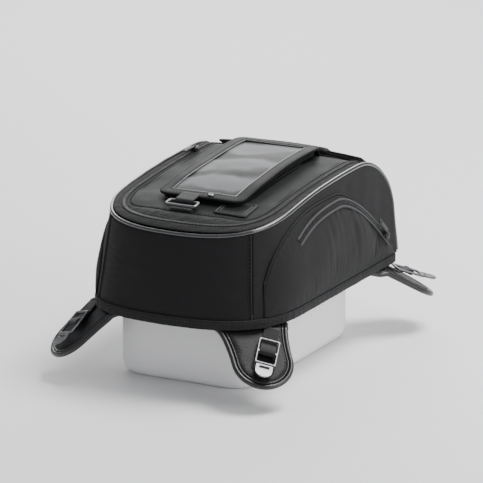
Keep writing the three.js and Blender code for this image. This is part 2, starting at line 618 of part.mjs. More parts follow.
// One corner's wing: its root lies across the corner of the base and it droops outwards.
function wing(label, rootX, rootY, { droopAngle, skew, perk }) {
  const side = Math.sign(rootX);
  const end = Math.sign(rootY);
  const droop = THREE.MathUtils.degToRad(droopAngle);
  const outward = new THREE.Vector3(side, end, 0).normalize();
  const down = outward.clone().multiplyScalar(Math.cos(droop)).setZ(-Math.sin(droop));
  const normal = outward.clone().multiplyScalar(Math.sin(droop)).setZ(Math.cos(droop));
  const group = new THREE.Group();
  group.position.set(rootX, rootY, 0);
  const across = down.clone().cross(normal);
  group.quaternion.setFromRotationMatrix(new THREE.Matrix4().makeBasis(across, down, normal));
  bag.add(group);

  const round = WING.tip / 2;
  const taper = WING.length - round;
  const pad = new THREE.Shape().moveTo(-WING.width / 2, PAD_ROOT).lineTo(WING.width / 2, PAD_ROOT).lineTo(round, taper);
  pad.absarc(0, taper, round, 0, Math.PI);
  const padSolid = new THREE.ExtrudeGeometry(pad, { depth: WING.thickness, bevelEnabled: false, curveSegments: 12 });
  const padUnder = -WING.thickness - 1;
  add(`wing_pad_${label}`, padSolid, SIDE_FABRIC, group).position.z = padUnder;

  const lay = new THREE.Group();
  const turn = side * end * THREE.MathUtils.degToRad(skew);
  lay.rotation.z = turn;
  lay.position.x = Math.tan(turn) * WING.length * LAY_SHARE;
  group.add(lay);
  const strapStart = 6;
  const strapLength = 16;
  const strap = new THREE.BoxGeometry(WEBBING.width, strapLength, WEBBING.thickness);
  add(`wing_strap_${label}`, strap, WEB, lay).position.set(0, strapStart + strapLength / 2, WEBBING.thickness / 2 - WEBBING.sink);
  const hung = new THREE.Group();
  hung.position.set(0, BUCKLE_START, WEBBING.thickness - WEBBING.sink + 2 * GAP);
  hung.rotation.x = THREE.MathUtils.degToRad(perk);
  lay.add(hung);
  const ladder = new THREE.ExtrudeGeometry(ladderPlan(), { depth: BUCKLE.wire, bevelEnabled: false });
  add(`wing_buckle_${label}`, ladder, STEEL, hung);
  const hook = new THREE.ExtrudeGeometry(hookPlan(), { depth: 1.8, bevelEnabled: false, curveSegments: 8 });
  add(`buckle_hook_${label}`, hook, STEEL, hung).position.set(0, BUCKLE.length + GAP, 0.3);
}

const REAR_WING = { x: 82, y: -119, droopAngle: 40, skew: 24, perk: 2 };
const FRONT_WING = { x: 88, y: 134, droopAngle: 30, skew: 0, perk: 10 };
for (const [label, side] of SIDES) {
  wing(`rear_${label}`, side * REAR_WING.x, REAR_WING.y, REAR_WING);
  wing(`front_${label}`, side * FRONT_WING.x, FRONT_WING.y, FRONT_WING);
}

export default bag;
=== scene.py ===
import math

import bpy
import numpy as np
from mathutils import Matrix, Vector


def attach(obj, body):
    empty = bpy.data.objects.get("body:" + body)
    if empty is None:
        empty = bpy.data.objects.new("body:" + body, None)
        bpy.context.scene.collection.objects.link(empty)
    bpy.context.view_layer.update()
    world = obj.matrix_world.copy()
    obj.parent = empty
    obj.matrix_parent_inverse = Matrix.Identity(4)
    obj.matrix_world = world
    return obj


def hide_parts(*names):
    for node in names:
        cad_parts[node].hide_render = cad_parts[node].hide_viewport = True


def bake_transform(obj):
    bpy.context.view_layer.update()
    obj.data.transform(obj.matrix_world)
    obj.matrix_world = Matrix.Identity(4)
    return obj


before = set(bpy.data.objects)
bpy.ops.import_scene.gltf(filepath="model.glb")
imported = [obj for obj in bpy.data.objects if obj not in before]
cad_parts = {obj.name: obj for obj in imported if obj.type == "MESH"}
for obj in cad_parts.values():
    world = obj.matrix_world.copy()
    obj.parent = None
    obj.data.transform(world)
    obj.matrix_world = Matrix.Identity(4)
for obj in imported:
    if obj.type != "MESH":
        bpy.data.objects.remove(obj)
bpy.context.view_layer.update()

# Sizes are in millimetres here and become metres when a mesh is made.
MM = 0.001

# ---------------------------------------------------------------- driving sizes

REAR_Y, FRONT_Y, HALF_WIDTH = -148.0, 149.0, 102.0
REAR_CURVE = ((0, REAR_Y), (70, REAR_Y), (101, -126), (101.5, -60))
(TURN_X, TURN_Y), WIDEST_Y = REAR_CURVE[3], 130.0
BASE_CORNER = 14.0
CREST_Z, CREST_Y, FRONT_DROP = 108.5, 85.0, 53.5
REAR_FALL, SIDE_LEAN, REAR_LEAN = 4.4e-4, 1.08e-3, 1.25e-3
CROWN, CROWN_HALF = 2.2, 92.0
HINGE_Y, GAP = 103.0, 0.35
WALL, WALL_FOOT_Z, WALL_DROP = 2.2, 9.4, 1.3
BOARD_TOP_Z, TAPE_INSET = 5.0, 5.0
SEAM_T, SEAM_GAP_T = 0.558, 0.006
PIPING_RADIUS, PIPING_INSET, PIPING_FOOT_Z = 2.0, 1.5, 10.5
RIM_INSET = (3.0, 9.6)
ZIP_LINE, TOOTH_PITCH = 13.0, 1.7
LID_RIM_INSET, LID_SIDE_INSET, LID_REAR_INSET, LID_SEAM = 16.5, 19.0, 34.0, 0.9
FLAP = {"left": -45.0, "right": 46.0, "rear": -76.0, "front": 96.0, "corner": 12.0}
FLAP_LIFT, FLAP_DEPTH, FLAP_BORDER = 2.0, 8.2, 11.5
WING = {"width": 66.0, "tip": 59.0, "length": 65.0, "top": -1.0, "under": -6.5, "flare": 7.0}
WEBBING, STRAP_THICK = 15.0, 1.6
BUCKLE = {"width": 21.0, "length": 30.0, "wire": 2.4, "hook": 15.0, "start": 17.0, "middle": 0.52}
CENTRE, UP = np.array([0.0, 0.0, 45.0]), (0.0, 0.0, 1.0)
SIDES = (("right", 1), ("left", -1))


# ---------------------------------------------------------------- small maths

def unit(v):
    return v / np.maximum(np.linalg.norm(v, axis=-1, keepdims=True), 1e-12)


def xyz(x, y, z):
    return np.stack(np.broadcast_arrays(*(np.asarray(a, float) for a in (x, y, z))), -1)


def lifted(points, z=0.0):
    """Flat points as points in space."""
    return xyz(points[:, 0], points[:, 1], z)


def ease(t):
    """A smooth rise from 0 to 1 while t goes from 0 to 1."""
    t = np.clip(t, 0, 1)
    return t * t * (3 - 2 * t)


def ripple(points, wavelength, seed, squeeze=(1, 1, 1)):
    """Smooth, repeatable noise of about -1 to 1 at points. squeeze makes it finer along an axis."""
    rng = np.random.default_rng(seed)
    total, waves = 0, 7
    for _ in range(waves):
        k = unit(rng.normal(size=3)) * np.array(squeeze) * 2 * np.pi / (wavelength * rng.uniform(0.7, 1.4))
        total = total + np.sin(points @ k + rng.uniform(0, 2 * np.pi))
    return total / math.sqrt(waves)


def spread(count, length):
    """Shares from 0 to 1, closer together near both ends, where an edge is rolled."""
    edge = 1.3
    near = np.array([0, 0.1, 0.3, 0.6]) * edge / length
    return np.concatenate([near, np.linspace(edge / length, 1 - edge / length, count), 1 - near[::-1]])


class Rail:
    """A line through points, read by share of its length."""

    def __init__(self, points):
        self.points = np.asarray(points, float)
        self.run = np.concatenate([[0], np.cumsum(np.linalg.norm(np.diff(self.points, axis=0), axis=1))])
        self.length = self.run[-1]

    def at(self, share):
        s = np.asarray(share, float) * self.length
        return np.stack([np.interp(s, self.run, self.points[:, k]) for k in range(3)], -1)

    def along(self, share, step=0.004):
        return unit(self.at(np.minimum(share + step, 1)) - self.at(np.maximum(share - step, 0)))


# ---------------------------------------------------------------- shape of the bag

def rear_outline(t):
    t = np.asarray(t, float)[..., None]
    a, b, c, d = (np.array(p, float) for p in REAR_CURVE)
    return a * (1 - t) ** 3 + 3 * b * t * (1 - t) ** 2 + 3 * c * t * t * (1 - t) + d * t ** 3


OUTLINE = rear_outline(np.linspace(0, 1, 4001))
SEAM_Y = rear_outline(SEAM_T + SEAM_GAP_T)[1]


def outline_x(y):
    y = np.asarray(y, float)
    ahead = TURN_X + (HALF_WIDTH - TURN_X) * (y - TURN_Y) / (WIDEST_Y - TURN_Y)
    return np.where(y >= TURN_Y, ahead, np.interp(y, OUTLINE[:, 1], OUTLINE[:, 0]))


def crest(y, inset=0.0):
    y = np.asarray(y, float)
    flat = CREST_Z - REAR_FALL * np.clip(CREST_Y - y, 0, None) ** 2 - inset
    reach = np.clip((y - CREST_Y) / (FRONT_Y - CREST_Y - inset), 0, 1)
    turned = CREST_Z - FRONT_DROP + (FRONT_DROP - inset) * np.sqrt(1 - reach ** 2)
    return np.where(y <= CREST_Y, flat, turned)


def lean(x, y, z):
    """The walls lean inwards as they rise, at the sides and at the rear."""
    y, z = np.asarray(y, float), np.asarray(z, float)
    return xyz(x * (1 - SIDE_LEAN * z), np.where(y < 0, y * (1 - REAR_LEAN * z), y), z)


def side_point(y, z, out):
    """A point on the right side wall, moved out of it by `out`."""
    slope = outline_x(y + 0.5) - outline_x(y - 0.5)
    p = lean(outline_x(y), y, z)
    reach = np.hypot(1, slope)
    return xyz(p[..., 0] + out / reach, p[..., 1] - out * slope / reach, z)


def edge_half(front_y):
    """The right half of the top edge, from front_y to the middle of the rear."""
    y = np.linspace(front_y, TURN_Y, 160)[:-1]
    turn = rear_outline(np.linspace(1, 0, 200))
    ys, xs = np.concatenate([y, turn[:, 1]]), np.concatenate([outline_x(y), turn[:, 0]])
    return lean(xs, ys, crest(ys))


def mirrored(half):
    return np.concatenate([half, half[-2::-1] * (-1, 1, 1)])


RIM = Rail(mirrored(edge_half(HINGE_Y - GAP)))


def top_z(x, y):
    return crest(y) + CROWN * (1 - np.minimum(np.abs(x) / CROWN_HALF, 1) ** 2)


def on_top(x, y, lift=0.0):
    """Points at a height above the top of the bag."""
    return xyz(x, y, top_z(x, y) + lift)


def rim_point(s, inset, lift=0.0):
    """Points on the top, `inset` from its edge, at share s of the way from front right to front left."""
    p, along = RIM.at(s), RIM.along(s)
    flat = unit(along * (1, 1, 0))
    return on_top(p[..., 0] + flat[..., 1] * inset, p[..., 1] - flat[..., 0] * inset, lift)


def lid_inset(s):
    return LID_SIDE_INSET + (LID_REAR_INSET - LID_SIDE_INSET) * np.abs(RIM.along(s)[..., 0]) ** 4


def rim_frames(s, inset, lift=0.0):
    """Origins, inward directions, directions along and normals on the top, near its edge."""
    origin = rim_point(s, inset, lift)
    across = unit(rim_point(s, inset + 1, lift) - origin)
    up = unit(np.cross(RIM.along(s), across))
    up = np.where(up[..., 2:] < 0, -up, up)
    return origin, across, unit(np.cross(up, across)), up


def base_outline(inset=0.0):
    """Closed outline of the base with its outward normals, moved inwards by `inset`."""
    t = np.linspace(0, 1, 30)[:, None]
    turn = (np.array([HALF_WIDTH, FRONT_Y - BASE_CORNER]) * (1 - t) ** 2
            + 2 * np.array([HALF_WIDTH, FRONT_Y]) * t * (1 - t)
            + np.array([HALF_WIDTH - BASE_CORNER, FRONT_Y]) * t ** 2)
    side = np.linspace(REAR_CURVE[3], (HALF_WIDTH, FRONT_Y - BASE_CORNER), 80)[1:-1]
    nose = np.linspace(turn[-1], (0, FRONT_Y), 40)[1:]
    half = np.concatenate([rear_outline(np.linspace(0, 1, 120)), side, turn, nose])
    loop = np.concatenate([half, half[-2:0:-1] * (-1, 1)])
    along = unit(np.roll(loop, -1, 0) - np.roll(loop, 1, 0))
    out = np.stack([along[:, 1], -along[:, 0]], -1)
    return loop - out * inset, out


def front_point(across, down, lift=0.0, inset=3.0):
    """The top's front part: across (-1 to 1) and down (0 at the fold of the lid, 1 at the base)."""
    turn = 0.7
    start = math.asin((HINGE_Y + GAP - CREST_Y) / (FRONT_Y - CREST_Y))
    angle = start + (np.pi / 2 - start) * np.minimum(down / turn, 1)
    drop = np.maximum(down - turn, 0) / (1 - turn)
    y = CREST_Y + (FRONT_Y - CREST_Y) * np.sin(angle)
    z = CREST_Z - FRONT_DROP + FRONT_DROP * np.cos(angle)
    z = z + (WALL_FOOT_Z - z) * drop
    half = lean(outline_x(y), y, z)[..., 0] - inset
    crown = CROWN * (1 - across * across) * np.cos(angle)
    return xyz(across * half, y + lift * np.sin(angle), z + crown + lift * np.cos(angle))


# ---------------------------------------------------------------- materials

class Paint:
    """Builds one procedural material from nodes, with coordinates in millimetres."""

    def __init__(self, name, roughness, **sockets):
        self.material = bpy.data.materials.new(name)
        self.material.use_nodes = True
        self.tree = self.material.node_tree
        self.shader = self.tree.nodes["Principled BSDF"]
        self.shader.inputs["Roughness"].default_value = roughness
        for key, value in sockets.items():
            self.shader.inputs[key.replace("_", " ").title().replace("Ior", "IOR")].default_value = value
        self.at = self.vector("SCALE", {0: self.node("ShaderNodeTexCoord", out="Object"), "Scale": 1 / MM})

    def node(self, kind, settings=None, inputs=None, out=0):
        made = self.tree.nodes.new(kind)
        for key, value in (settings or {}).items():
            setattr(made, key, value)
        for key, value in (inputs or {}).items():
            if isinstance(value, bpy.types.NodeSocket):
                self.tree.links.new(value, made.inputs[key])
            else:
                made.inputs[key].default_value = value
        return made.outputs[out]

    def math(self, operation, *values):
        return self.node("ShaderNodeMath", {"operation": operation}, dict(enumerate(values)))

    def vector(self, operation, inputs, out=0):
        return self.node("ShaderNodeVectorMath", {"operation": operation}, inputs, out)

    def split(self, vector):
        """The X, Y and Z of a vector."""
        made = self.tree.nodes.new("ShaderNodeSeparateXYZ")
        self.tree.links.new(vector, made.inputs[0])
        return made.outputs

    def noise(self, size, detail=3.0, stretch=(1, 1, 1)):
        """Noise centred on 0, about -0.5 to 0.5, with features of `size` mm."""
        place = self.vector("MULTIPLY", {0: self.at, 1: stretch})
        value = self.node("ShaderNodeTexNoise", None, {"Vector": place, "Scale": 1 / size, "Detail": detail})
        return self.math("SUBTRACT", value, 0.5)

    def weave(self, pitch):
        """Crossing yarns of that pitch on any face, as -1 to 1."""
        place = self.vector("SCALE", {0: self.at, "Scale": 2 * math.pi / pitch})
        return self.vector("DOT_PRODUCT", {0: self.vector("SINE", {0: place}), 1: (0.5, 0.5, 0.5)}, "Value")

    def add(self, *weighted):
        """The sum of value x weight pairs."""
        total = None
        for value, weight in weighted:
            term = self.math("MULTIPLY", value, weight)
            total = term if total is None else self.math("ADD", total, term)
        return total

    def color(self, base, tone):
        """The base colour, lighter or darker by `tone`, a share either side of 0."""
        factor = self.math("MAXIMUM", self.math("ADD", tone, 1.0), 0.05)
        tinted = self.vector("SCALE", {0: base, "Scale": factor})
        self.tree.links.new(tinted, self.shader.inputs["Base Color"])

    def worn_and_lit_edges(self, amount):
        """How much an outer edge is made lighter, from 0 to `amount`: rubbing on most pieces, and painted
        highlight on the pale welts, weld and patch ridges.
        """
        ends = {"From Min": 0.53, "From Max": 0.62, "To Min": 0.0, "To Max": amount}
        pointed = self.node("ShaderNodeNewGeometry", out="Pointiness")
        return self.node("ShaderNodeMapRange", None, {"Value": pointed, **ends})

    def roughness(self, value, spread):
        base = self.shader.inputs["Roughness"].default_value
        self.tree.links.new(self.math("ADD", self.math("MULTIPLY", value, spread), base),
                            self.shader.inputs["Roughness"])

    def bump(self, height, depth):
        settings = {"Height": height, "Distance": depth * MM, "Strength": 1.0}
        normal = self.node("ShaderNodeBump", None, settings)
        self.tree.links.new(normal, self.shader.inputs["Normal"])


def fabric(name, base, roughness=0.85, pitch=1.1, mottle=0.16, patch=16.0, depth=0.06, fuzz=0.06, wear_and_highlight=0.5):
    p = Paint(name, roughness, sheen_weight=fuzz, sheen_roughness=0.5, specular_ior_level=0.25)
    yarn, fine, broad = p.weave(pitch), p.noise(1.3), p.noise(patch, 4.0)
    p.color(base, p.add((broad, mottle * 2), (fine, 0.9), (yarn, 0.07), (p.worn_and_lit_edges(wear_and_highlight), 1.0)))
    p.roughness(fine, 0.12)
    p.bump(p.add((yarn, 0.3), (fine, 1.0)), depth)
    return p.material


def leather(name, base, roughness=0.5, mottle=0.1, depth=0.08, wear_and_highlight=0.45, coat=0.0, shine=0.1):
    p, grain = Paint(name, roughness, specular_ior_level=shine, coat_weight=coat, coat_roughness=0.3), 1.5
    cell = p.node("ShaderNodeTexVoronoi", {"feature": "SMOOTH_F1"}, {"Vector": p.at, "Scale": 1 / grain},
                  "Distance")
    fine, broad = p.noise(0.9), p.noise(22.0, 4.0)
    p.color(base, p.add((broad, mottle * 2), (cell, -0.18), (fine, 0.25), (p.worn_and_lit_edges(wear_and_highlight), 1.0)))
    p.roughness(p.add((broad, 1.0), (fine, 0.6)), 0.16)
    p.bump(p.add((cell, -1.0), (fine, 0.6)), depth)
    return p.material


def moulded(name, base, roughness=0.35, mottle=0.08, depth=0.05, wear_and_highlight=0.3, **sockets):
    p = Paint(name, roughness, **sockets)
    fine, broad = p.noise(1.6), p.noise(9.0)
    p.color(base, p.add((broad, mottle * 2), (fine, 0.12), (p.worn_and_lit_edges(wear_and_highlight), 1.0)))
    p.roughness(p.add((broad, 1.0), (fine, 0.5)), 0.22)
    p.bump(p.add((broad, 1.0), (fine, 0.3)), depth)
    return p.material


def metal(name, base, roughness):
    p = Paint(name, roughness, metallic=1.0)
    scratch, broad = p.noise(0.8, 2.0, (1, 0.08, 1)), p.noise(6.0)
    p.color(base, p.add((broad, 0.2), (scratch, 0.1), (p.worn_and_lit_edges(0.12), 1.0)))
    p.roughness(p.add((scratch, 1.0), (broad, 0.8)), 0.22)
    p.bump(scratch, 0.02)
    return p.material


def webbing(name, base):
    """Webbing: ribs along its length, crossed by weft yarns. The ribs follow the strap's own coordinates."""
    p, pitch = Paint(name, 0.8, sheen_weight=0.2, sheen_roughness=0.5, specular_ior_level=0.35), 1.5
    strap = p.split(p.node("ShaderNodeTexCoord", out="UV"))
    rib = p.math("SINE", p.math("MULTIPLY", strap["Y"], 2 * math.pi / pitch))
    weft = p.math("SINE", p.math("MULTIPLY", strap["X"], 2 * math.pi / (pitch * 0.8)))
    cross = p.math("MULTIPLY", rib, weft)
    fine, broad = p.noise(1.1), p.noise(12.0)
    p.color(base, p.add((broad, 0.35), (fine, 0.6), (rib, 0.1), (cross, 0.2), (p.worn_and_lit_edges(0.5), 1.0)))
    p.roughness(fine, 0.14)
    p.bump(p.add((rib, 0.4), (cross, 0.7), (fine, 0.6)), 0.12)
    return p.material


def clear_film(name):
    """Clear film over a dark pocket, coloured with painted reflection: pale, with soft darker stripes of
    painted reflection running slantwise across it.
    """
    p = Paint(name, 0.38, specular_ior_level=0.05)
    bend, at = p.noise(38.0, 1.0), p.split(p.at)
    slant = p.add((at["Y"], 1.0), (at["X"], -0.25), (bend, 62.0))
    reflection_band = p.math("SINE", p.math("MULTIPLY", slant, 2 * math.pi / 54))
    reflection_tone = p.node("ShaderNodeMapRange", {"interpolation_type": "SMOOTHSTEP"},
                  {"Value": reflection_band, "From Min": -0.9, "From Max": 0.5, "To Min": -0.65, "To Max": 0.4})
    # The pale colour and its stripes are painted reflection of the studio lamps, not the film's own tone.
    p.color((0.085, 0.087, 0.089), p.add((reflection_tone, 1.0), (p.noise(14.0), 0.35)))
    p.roughness(bend, 0.1)
    p.bump(p.noise(5.0, 2.0), 0.05)
    return p.material


def plain(name, base):
    p = Paint(name, 0.9)
    p.color(base, p.add((p.noise(300.0), 0.02), (p.noise(3.0), 0.02)))
    return p.material


PAINTS = {
    "rear": fabric("rear_fabric", (0.0062, 0.0062, 0.0070), mottle=0.10, pitch=0.9, depth=0.05),
    "side": fabric("side_fabric", (0.0098, 0.0098, 0.0104), mottle=0.12, fuzz=0.03),
    "pocket": fabric("pocket_fabric", (0.0108, 0.0108, 0.0114), mottle=0.14, fuzz=0.03),
    "rim": fabric("rim_fabric", (0.0130, 0.0133, 0.0133), mottle=0.5, patch=6.0, pitch=1.3, depth=0.12),
    "binding": fabric("binding_tape", (0.0105, 0.0105, 0.0112), pitch=1.4, mottle=0.18, depth=0.10),
    "lining": fabric("lining_fabric", (0.030, 0.030, 0.034), pitch=1.4, wear_and_highlight=0.0),
    "tape": fabric("zip_tape", (0.0085, 0.0085, 0.0090), pitch=1.0, mottle=0.15, depth=0.10),
    "thread": fabric("thread", (0.018, 0.018, 0.019), pitch=0.7, wear_and_highlight=0.2),
    "lid": leather("lid_skin", (0.0165, 0.0173, 0.0173), roughness=0.58),
    "flap": leather("flap_skin", (0.0120, 0.0124, 0.0124), roughness=0.54),
    "wing": leather("wing_skin", (0.0075, 0.0075, 0.0080), roughness=0.44, depth=0.11, shine=0.2),
    "edge": leather("edge_skin", (0.0100, 0.0100, 0.0105), roughness=0.34, coat=0.25, shine=0.4),
    "piping": moulded("piping_skin", (0.0130, 0.0130, 0.0140), roughness=0.22, coat_weight=0.8,
                      coat_roughness=0.12),
    "teeth": moulded("zip_coil", (0.0090, 0.0090, 0.0095), roughness=0.38),
    "lacquer": moulded("zip_lacquer", (0.0090, 0.0090, 0.0095), roughness=0.46),
    "rubber": moulded("mat_rubber", (0.0140, 0.0140, 0.0140), roughness=0.75, mottle=0.2, depth=0.12),
    "grip": moulded("grip_rubber", (0.0105, 0.0105, 0.0110), roughness=0.6, mottle=0.15, depth=0.10),
    "web": webbing("webbing", (0.0100, 0.0100, 0.0105)),
    "steel": metal("steel", (0.155, 0.155, 0.16), 0.34),
    "film": clear_film("window_film"),
    # Window weld: a pale line, a painted highlight along the weld bead.
    "weld": moulded("window_weld_highlight", (0.075, 0.075, 0.077), roughness=0.3, mottle=0.25),
    # Patch ridges: much lighter than the lid, a painted highlight along the raised borders.
    "ridge": leather("patch_ridge_painted_highlight", (0.058, 0.060, 0.060), roughness=0.45),
    # Zip welts: pale colour and strong edge lightening, a painted highlight on the raised welts.
    "welt": fabric("zip_welt_painted_highlight", (0.038, 0.038, 0.039), mottle=0.3, wear_and_highlight=0.9),
    "floor": plain("pale_floor", (0.86, 0.86, 0.86)),
}


# ---------------------------------------------------------------- meshes

def signed_volume(points, faces):
    total = 0.0
    for face in faces:
        p = points[list(face)]
        for k in range(1, len(face) - 1):
            total += np.dot(p[0], np.cross(p[k], p[k + 1]))
    return total


def link(name, data):
    """A new object in the scene."""
    made = bpy.data.objects.new(name, data)
    bpy.context.scene.collection.objects.link(made)
    return made


def taken(holder):
    """The points and faces of an object with its modifiers applied. The object is deleted."""
    bpy.context.view_layer.update()
    mesh = bpy.data.meshes.new_from_object(holder.evaluated_get(bpy.context.evaluated_depsgraph_get()))
    points = np.array([v.co for v in mesh.vertices], float)
    faces = [tuple(p.vertices) for p in mesh.polygons]
    bpy.data.objects.remove(holder)
    bpy.data.meshes.remove(mesh)
    return points, faces


def smooth_mesh(name, points, faces, paint):
    """A smooth mesh in one material, from points in mm."""
    mesh = bpy.data.meshes.new(name)
    mesh.from_pydata((points * MM).tolist(), [], faces)
    mesh.polygons.foreach_set("use_smooth", [True] * len(faces))
    mesh.materials.append(PAINTS[paint])
    return mesh


def make(name, points, faces, paint, body, nodes=(), uv=None, inner_from=None):
    """A closed piece from points in mm, riding on a body, or on no body when body is None.
    Faces from number inner_from on are the lining."""
    points, faces = np.asarray(points, float), [tuple(int(i) for i in f) for f in faces]
    if signed_volume(points, faces) < 0:
        faces = [f[::-1] for f in faces]
    mesh = smooth_mesh(name, points, faces, paint)
    if inner_from is not None:
        mesh.materials.append(PAINTS["lining"])
        mesh.polygons.foreach_set("material_index", [int(i >= inner_from) for i in range(len(faces))])
    if uv is not None:
        layer = mesh.uv_layers.new(name="UVMap")
        loops = np.zeros(len(mesh.loops), np.int32)
        mesh.loops.foreach_get("vertex_index", loops)
        layer.data.foreach_set("uv", np.asarray(uv, np.float32)[loops].ravel())
    mesh.update()
    piece = link(name, mesh)
    if body:
        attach(piece, body)
    if nodes:
        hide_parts(*nodes)
    return piece


def quads(columns, rows):
    """Faces of a grid of points."""
    return [(i * rows + j, (i + 1) * rows + j, (i + 1) * rows + j + 1, i * rows + j + 1)
            for i in range(columns - 1) for j in range(rows - 1)]


def tube_faces(rings, sides, loop=False):
    """Faces of rings of points. A loop joins its last ring to its first, and the rest are capped."""
    faces = [(i * sides + j, i * sides + (j + 1) % sides, (i + 1) % rings * sides + (j + 1) % sides,
              (i + 1) % rings * sides + j) for i in range(rings if loop else rings - 1) for j in range(sides)]
    caps = [tuple(range(sides))[::-1], tuple(range((rings - 1) * sides, rings * sides))]
    return faces if loop else faces + caps


def grid_normals(grid):
    normal = unit(np.cross(np.gradient(grid, axis=0), np.gradient(grid, axis=1)))
    return -normal if (normal * (grid - CENTRE)).sum() < 0 else normal


def edge_distance(grid, axis):
    step = np.linalg.norm(np.diff(grid, axis=axis), axis=-1)
    run = np.insert(np.cumsum(step, axis=axis), 0, 0, axis=axis)
    return np.minimum(run, np.take(run, [-1], axis=axis) - run)


def skin(name, grid, thickness, paint, body, nodes=(), lift=0.0, lined=False):
    """A sheet of fabric with rolled edges. grid is its outer face, and it is `thickness` deep."""
    columns, rows = grid.shape[:2]
    normal = grid_normals(grid)
    half = thickness / 2
    near = np.minimum(edge_distance(grid, 0), edge_distance(grid, 1))
    roll = half * (1 - np.sqrt(1 - (1 - np.clip(near / half, 0, 1)) ** 2))[..., None]
    outer = grid + normal * (np.broadcast_to(lift, near.shape)[..., None] - roll)
    inner = grid - normal * (thickness - roll)
    count = columns * rows
    faces = quads(columns, rows)
    rim = [i * rows for i in range(columns)] + [(columns - 1) * rows + j for j in range(1, rows)]
    rim += [i * rows + rows - 1 for i in range(columns - 2, -1, -1)] + list(range(rows - 2, 0, -1))
    faces += [(rim[k], rim[(k + 1) % len(rim)], rim[(k + 1) % len(rim)] + count, rim[k] + count)[::-1]
              for k in range(len(rim))]
    inner_from = len(faces)
    faces += [tuple(i + count for i in f[::-1]) for f in quads(columns, rows)]
    points = np.concatenate([outer.reshape(-1, 3), inner.reshape(-1, 3)])
    return make(name, points, faces, paint, body, nodes, inner_from=inner_from if lined else None)


def tube(section, frames, loop=False):
    """Points and faces of a closed section, (across, up) pairs, carried along frames (origin, across, up)."""
    origin, across, up = np.broadcast_arrays(*(np.asarray(f, float) for f in frames))
    section = np.asarray(section, float)
    points = origin[:, None] + across[:, None] * section[:, :1] + up[:, None] * section[:, 1:]
    return points.reshape(-1, 3), tube_faces(len(origin), len(section), loop)


def sweep(name, section, frames, paint, body, nodes=(), loop=False):
    """A tube as a piece, with coordinates along and across it for a webbing's ribs."""
    points, faces = tube(section, frames, loop)
    run = np.insert(np.cumsum(np.linalg.norm(np.diff(frames[0], axis=0), axis=1)), 0, 0)
    uv = np.stack(np.broadcast_arrays(run[:, None], np.asarray(section, float)[None, :, 0]), -1)
    return make(name, points, faces, paint, body, nodes, uv=uv.reshape(-1, 2))


def ring(radius, sides=12, squash=1.0):
    turn = np.linspace(0, 2 * np.pi, sides, endpoint=False)
    return np.stack([radius * np.cos(turn), radius * squash * np.sin(turn)], -1)


def strap_section(width, thickness, ribs=5, foot=0.0):
    """A webbing section: rounded edges and shallow ribs on its upper face."""
    half, top = width / 2, foot + thickness
    over = np.linspace(half - thickness / 2, -half + thickness / 2, ribs * 4 + 1)
    crown = top + 0.06 * np.cos(np.linspace(0, 2 * np.pi * ribs, len(over)))
    turn = np.linspace(np.pi / 2, -np.pi / 2, 6)[1:-1]
    left = np.stack([-half + thickness / 2 - np.cos(turn) * thickness / 2,
                     foot + thickness / 2 + np.sin(turn) * thickness / 2], -1)
    under = [[-half + thickness / 2, foot], [half - thickness / 2, foot]]
    return np.concatenate([np.stack([over, crown], -1), left, under, left[::-1] * (-1, 1)])


def path_frames(points, up, loop=False):
    """Frames along a path: across it, and up as near to `up` as can be."""
    points = np.asarray(points, float)
    along = unit(np.roll(points, -1, 0) - np.roll(points, 1, 0) if loop else np.gradient(points, axis=0))
    across = unit(np.cross(along, np.broadcast_to(up, points.shape)))
    return points, across, unit(np.cross(across, along))


def rect(x0, y0, x1, y1):
    return [(x0, y0), (x1, y0), (x1, y1), (x0, y1)]


def rounded(corners, radius, steps=6):
    """A closed outline with rounded corners; radius is one size or one for each corner."""
    corners = np.asarray(corners, float)
    radii = np.broadcast_to(radius, len(corners))
    outline = []
    for i, p in enumerate(corners):
        before, after = unit(corners[i - 1] - p), unit(corners[(i + 1) % len(corners)] - p)
        a, b = p + before * radii[i], p + after * radii[i]
        t = np.linspace(0, 1, steps)[:, None]
        outline.append(a * (1 - t) ** 2 + 2 * p * t * (1 - t) + b * t ** 2)
    return np.concatenate(outline)


def plate(outline, depth, bevel, holes=()):
    """A flat plate with holes and rounded edges, standing on z = 0, as points and faces in mm."""
    curve = bpy.data.curves.new("plate", "CURVE")
    curve.dimensions, curve.fill_mode = "2D", "BOTH"
    curve.extrude, curve.bevel_depth, curve.offset = depth / 2 - bevel, bevel, -bevel
    curve.bevel_resolution = 2
    for line in (outline, *holes):
        spline = curve.splines.new("POLY")
        spline.points.add(len(line) - 1)
        spline.points.foreach_set("co", np.pad(np.asarray(line, float), ((0, 0), (0, 2))).ravel())
        spline.use_cyclic_u = True
    points, faces = taken(link("plate", curve))
    bpy.data.curves.remove(curve)
    return points + (0, 0, depth / 2), faces


def join(parts):
    """Several (points, faces) pairs as one."""
    points, faces, count = [], [], 0
    for part_points, part_faces in parts:
        points.append(part_points)
        faces.extend(tuple(i + count for i in f) for f in part_faces)
        count += len(part_points)
    return np.concatenate(points), faces


def seat(points, frame_at):
    """Points of a piece drawn about 0 (across, along, up), placed on one frame."""
    origin, across, along, up = frame_at
    return origin + points[:, :1] * across + points[:, 1:2] * along + points[:, 2:] * up


def scatter(part, frames):
    """Copies of a small part, one on each frame (origins, across, along, up)."""
    return join([(seat(part[0], frame_at), part[1]) for frame_at in zip(*np.broadcast_arrays(*frames))])


